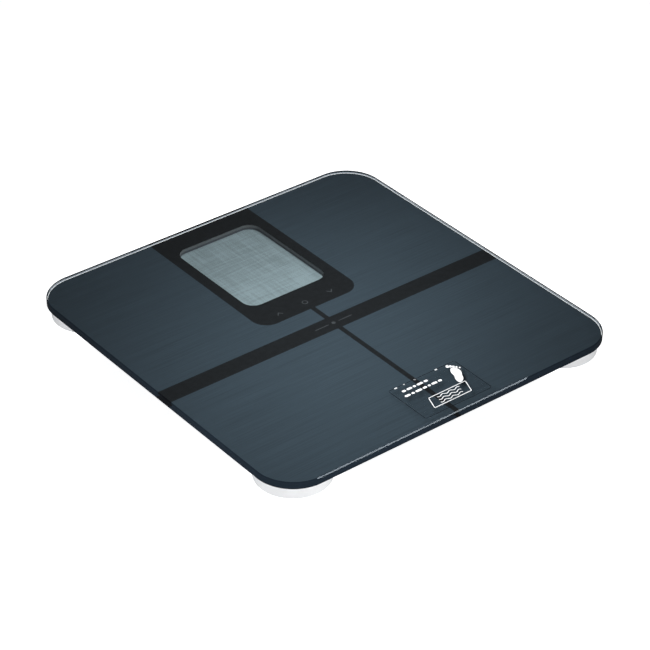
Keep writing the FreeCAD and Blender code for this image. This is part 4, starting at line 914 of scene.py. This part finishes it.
class SCALE_OT_finish_frame(bpy.types.Operator):
    """Give every node of the frame its finish"""

    bl_idname = "bathroom_scale.finish_frame"
    bl_label = "Finish the frame"

    def execute(self, context):
        FINISHES.update(make_finishes(context.scene.scale_finishes))
        FINISHES["clear_film"] = film_finish("clear_film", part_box("film_label"))
        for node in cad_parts.values():
            for holder in node.material_slots:
                holder.material = FINISHES[holder.material.name]
        return {"FINISHED"}


class SCALE_OT_glass_platform(bpy.types.Operator):
    """Make the bevelled glass platform"""

    bl_idname = "bathroom_scale.glass_platform"
    bl_label = "Glass platform"

    def execute(self, context):
        plate = glass_plate(context.scene.scale_shapes)
        plate.data.materials.append(FINISHES["clear_glass"])
        plate.data.materials.append(FINISHES["glass_edge"])
        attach(plate, "platform")
        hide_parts("glass_platform")
        return {"FINISHED"}


class SCALE_OT_film_label(bpy.types.Operator):
    """Lay the clear film and its white print on the glass"""

    bl_idname = "bathroom_scale.film_label"
    bl_label = "Film label"

    def execute(self, context):
        shapes = context.scene.scale_shapes
        film = label_film(shapes)
        film.data.materials.append(FINISHES["clear_film"])
        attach(film, "platform")
        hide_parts("film_label")
        white = label_print(shapes)
        white.data.materials.append(label_ink("label_print"))
        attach(white, "platform")
        return {"FINISHED"}


class SCALE_OT_foot_pads(bpy.types.Operator):
    """Mould the four rubber pads with their tread"""

    bl_idname = "bathroom_scale.foot_pads"
    bl_label = "Foot pads"

    def execute(self, context):
        for name in FEET:
            pad = foot_pad(name, context.scene.scale_shapes)
            pad.data.materials.append(FINISHES["foot_rubber"])
            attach(pad, "foot_" + name)
            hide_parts("foot_pad_" + name)
        return {"FINISHED"}


# The lamps: size, place and the point they face. One that is unseen by glossy rays shows in no
# mirror image, and one that is unseen by diffuse rays shows only in mirror images.
KEY_LAMP = {
    "length": 0.32,
    "width": 0.06,
    "place": (-0.022, -0.040, 0.220),
    "aim": (-0.022, -0.040, 0.0),
    "turn": math.radians(45),
    "unseen_by": "glossy",
}
FILL_LAMP = {
    "length": 1.6,
    "width": 1.6,
    "place": (-0.9, -2.0, 0.7),
    "aim": (0.0, 0.0, 0.0),
    "unseen_by": "glossy",
}
EDGE_LAMP = {
    "length": 0.62,
    "width": 0.3,
    "place": (0.70, -0.92, 0.96),
    "aim": (0.0, -0.15, 0.02),
    "colour": (0.80, 0.91, 1.0),
    "unseen_by": "diffuse",
}


def soft_light(name, power, length, width, place, aim, unseen_by, turn=0.0, colour=(1.0, 1.0, 1.0)):
    """A rectangular area light that points from its place to its aim, turned about its own axis.

    The camera doesn't see it, and neither do rays that have passed through glass.
    """
    lamp = bpy.data.lights.new(name, "AREA")
    lamp.shape = "RECTANGLE"
    lamp.size = length
    lamp.size_y = width
    lamp.energy = power
    lamp.color = colour
    holder = bpy.data.objects.new(name, lamp)
    aimed = (Vector(aim) - Vector(place)).to_track_quat("-Z", "Y")
    holder.rotation_mode = "QUATERNION"
    holder.rotation_quaternion = aimed @ Quaternion((0.0, 0.0, 1.0), turn)
    holder.location = place
    for ray in ("camera", "transmission", unseen_by):
        setattr(holder, "visible_" + ray, False)
    bpy.context.scene.collection.objects.link(holder)


WHITE = (1.0, 1.0, 1.0)
BACKDROP = (0.92, 0.92, 0.92, 1.0)
FLOOR_HALF = 6.0
# The platform's shade on the glowing floor: its middle along Y, and how far from there the glow
# starts to grow and is whole again.
SHADE_MIDDLE = 25 * MM
SHADE_REACH = (85 * MM, 130 * MM)


def floor_finish(colour, glow, painted_shadow_glow):
    """Plain pale floor with a trace of unevenness, and a painted shadow where the platform covers it:
    its glow is dimmer there.

    It is clear from below, so that the underside can be seen.
    """
    finish, tree, shader = new_finish("floor")
    cloud = noise(tree, object_place(tree), 3.0, 2.0, 0.5)
    place = object_axes(tree)
    away = maths(tree, "MAXIMUM", distance_from(tree, place[0], 0.0),
                 distance_from(tree, place[1], SHADE_MIDDLE))
    # Painted shadow: the glow drops to the given share under the platform and grows back towards its
    # edges.
    outside_painted_shadow = map_range(tree, away, *SHADE_REACH, 0.0, 1.0)
    feed(tree, shader,
         Base_Color=blend_colours(tree, cloud, shade(colour, 0.99), shade(colour, 1.01)),
         Emission_Color=blend_colours(tree, outside_painted_shadow, shade(WHITE, painted_shadow_glow), WHITE))
    shader.inputs["Emission Strength"].default_value = glow
    shader.inputs["Roughness"].default_value = 0.9
    shader.inputs["Specular IOR Level"].default_value = 0.0
    side = add_node(tree, "ShaderNodeNewGeometry")
    clear = add_node(tree, "ShaderNodeBsdfTransparent")
    mix_shaders(tree, side.outputs["Backfacing"], shader, clear)
    return finish


def studio_floor(studio):
    """A wide flat floor at height 0, which shows in no mirror image."""
    corners = np.array([[-1, -1, 0], [1, -1, 0], [1, 1, 0], [-1, 1, 0]]) * FLOOR_HALF
    floor = make_mesh("floor", corners, [[0, 1, 2, 3]])
    finish = floor_finish(tuple(studio.floor), studio.floor_glow, studio.floor_painted_shadow)
    floor.data.materials.append(finish)
    floor.visible_glossy = False


def studio_world(room):
    """A dim, faintly blue room for light and reflections, and a pale backdrop for the camera."""
    world = bpy.data.worlds.new("studio")
    world.use_nodes = True
    tree = world.node_tree
    dim = tree.nodes["Background"]
    dim.inputs["Color"].default_value = (room, room, room * 1.03, 1.0)
    pale = add_node(tree, "ShaderNodeBackground", Color=BACKDROP)
    ray = add_node(tree, "ShaderNodeLightPath")
    mix_shaders(tree, ray.outputs["Is Camera Ray"], dim, pale, "World Output")
    bpy.context.scene.world = world


def studio_camera(studio):
    """The camera, set by azimuth, elevation, roll and distance from the point it looks at."""
    azimuth, elevation, roll = studio.azimuth, studio.elevation, studio.roll
    level = math.cos(elevation)
    back = np.array([math.sin(azimuth) * level, -math.cos(azimuth) * level, math.sin(elevation)])
    right = np.array([math.cos(azimuth), math.sin(azimuth), 0.0])
    up = np.cross(back, right)
    stand = np.eye(4)
    stand[:3, 0] = right * math.cos(roll) + up * math.sin(roll)
    stand[:3, 1] = up * math.cos(roll) - right * math.sin(roll)
    stand[:3, 2] = back
    stand[:3, 3] = np.array(studio.look_at) + back * studio.distance
    view = bpy.data.cameras.new("camera")
    view.lens = studio.lens
    view.sensor_width = 36.0
    view.clip_start = 0.05
    view.clip_end = 50.0
    camera = bpy.data.objects.new("camera", view)
    camera.matrix_world = Matrix(stand.tolist())
    bpy.context.scene.collection.objects.link(camera)
    bpy.context.scene.camera = camera


class SCALE_OT_studio(bpy.types.Operator):
    """Set up the floor, the lights, the room and the camera"""

    bl_idname = "bathroom_scale.studio"
    bl_label = "Studio"

    def execute(self, context):
        studio = context.scene.scale_studio
        studio_floor(studio)
        soft_light("key_light", studio.key_power, **KEY_LAMP)
        soft_light("fill_light", studio.fill_power, **FILL_LAMP)
        soft_light("edge_light", studio.edge_power, **EDGE_LAMP)
        studio_world(studio.room)
        studio_camera(studio)
        context.scene.view_settings.view_transform = "Standard"
        return {"FINISHED"}


class SCALE_PT_looks(bpy.types.Panel):
    """Sizes, colours and steps of the scale's looks"""

    bl_label = "Bathroom scale"
    bl_idname = "SCALE_PT_looks"
    bl_space_type = "VIEW_3D"
    bl_region_type = "UI"
    bl_category = "Bathroom Scale"

    def draw(self, context):
        scene = context.scene
        for group in (scene.scale_shapes, scene.scale_finishes, scene.scale_studio):
            box = self.layout.box()
            for name in group.__annotations__:
                box.prop(group, name)
        for step in STEPS:
            self.layout.operator(step.bl_idname)


STEPS = (SCALE_OT_finish_frame, SCALE_OT_glass_platform, SCALE_OT_film_label, SCALE_OT_foot_pads,
         SCALE_OT_studio)
CLASSES = (ScaleShapes, ScaleFinishes, StudioSettings, *STEPS, SCALE_PT_looks)


def register():
    """Make the settings, the operators and the panel known."""
    for kind in CLASSES:
        bpy.utils.register_class(kind)
    bpy.types.Scene.scale_shapes = bpy.props.PointerProperty(type=ScaleShapes)
    bpy.types.Scene.scale_finishes = bpy.props.PointerProperty(type=ScaleFinishes)
    bpy.types.Scene.scale_studio = bpy.props.PointerProperty(type=StudioSettings)


def unregister():
    """Take them away again, last first."""
    for name in ("scale_studio", "scale_finishes", "scale_shapes"):
        delattr(bpy.types.Scene, name)
    for kind in reversed(CLASSES):
        bpy.utils.unregister_class(kind)


def main():
    """Make everything in order."""
    register()
    for step in STEPS:
        family, name = step.bl_idname.split(".")
        getattr(getattr(bpy.ops, family), name)()


if __name__ == "__main__":
    main()
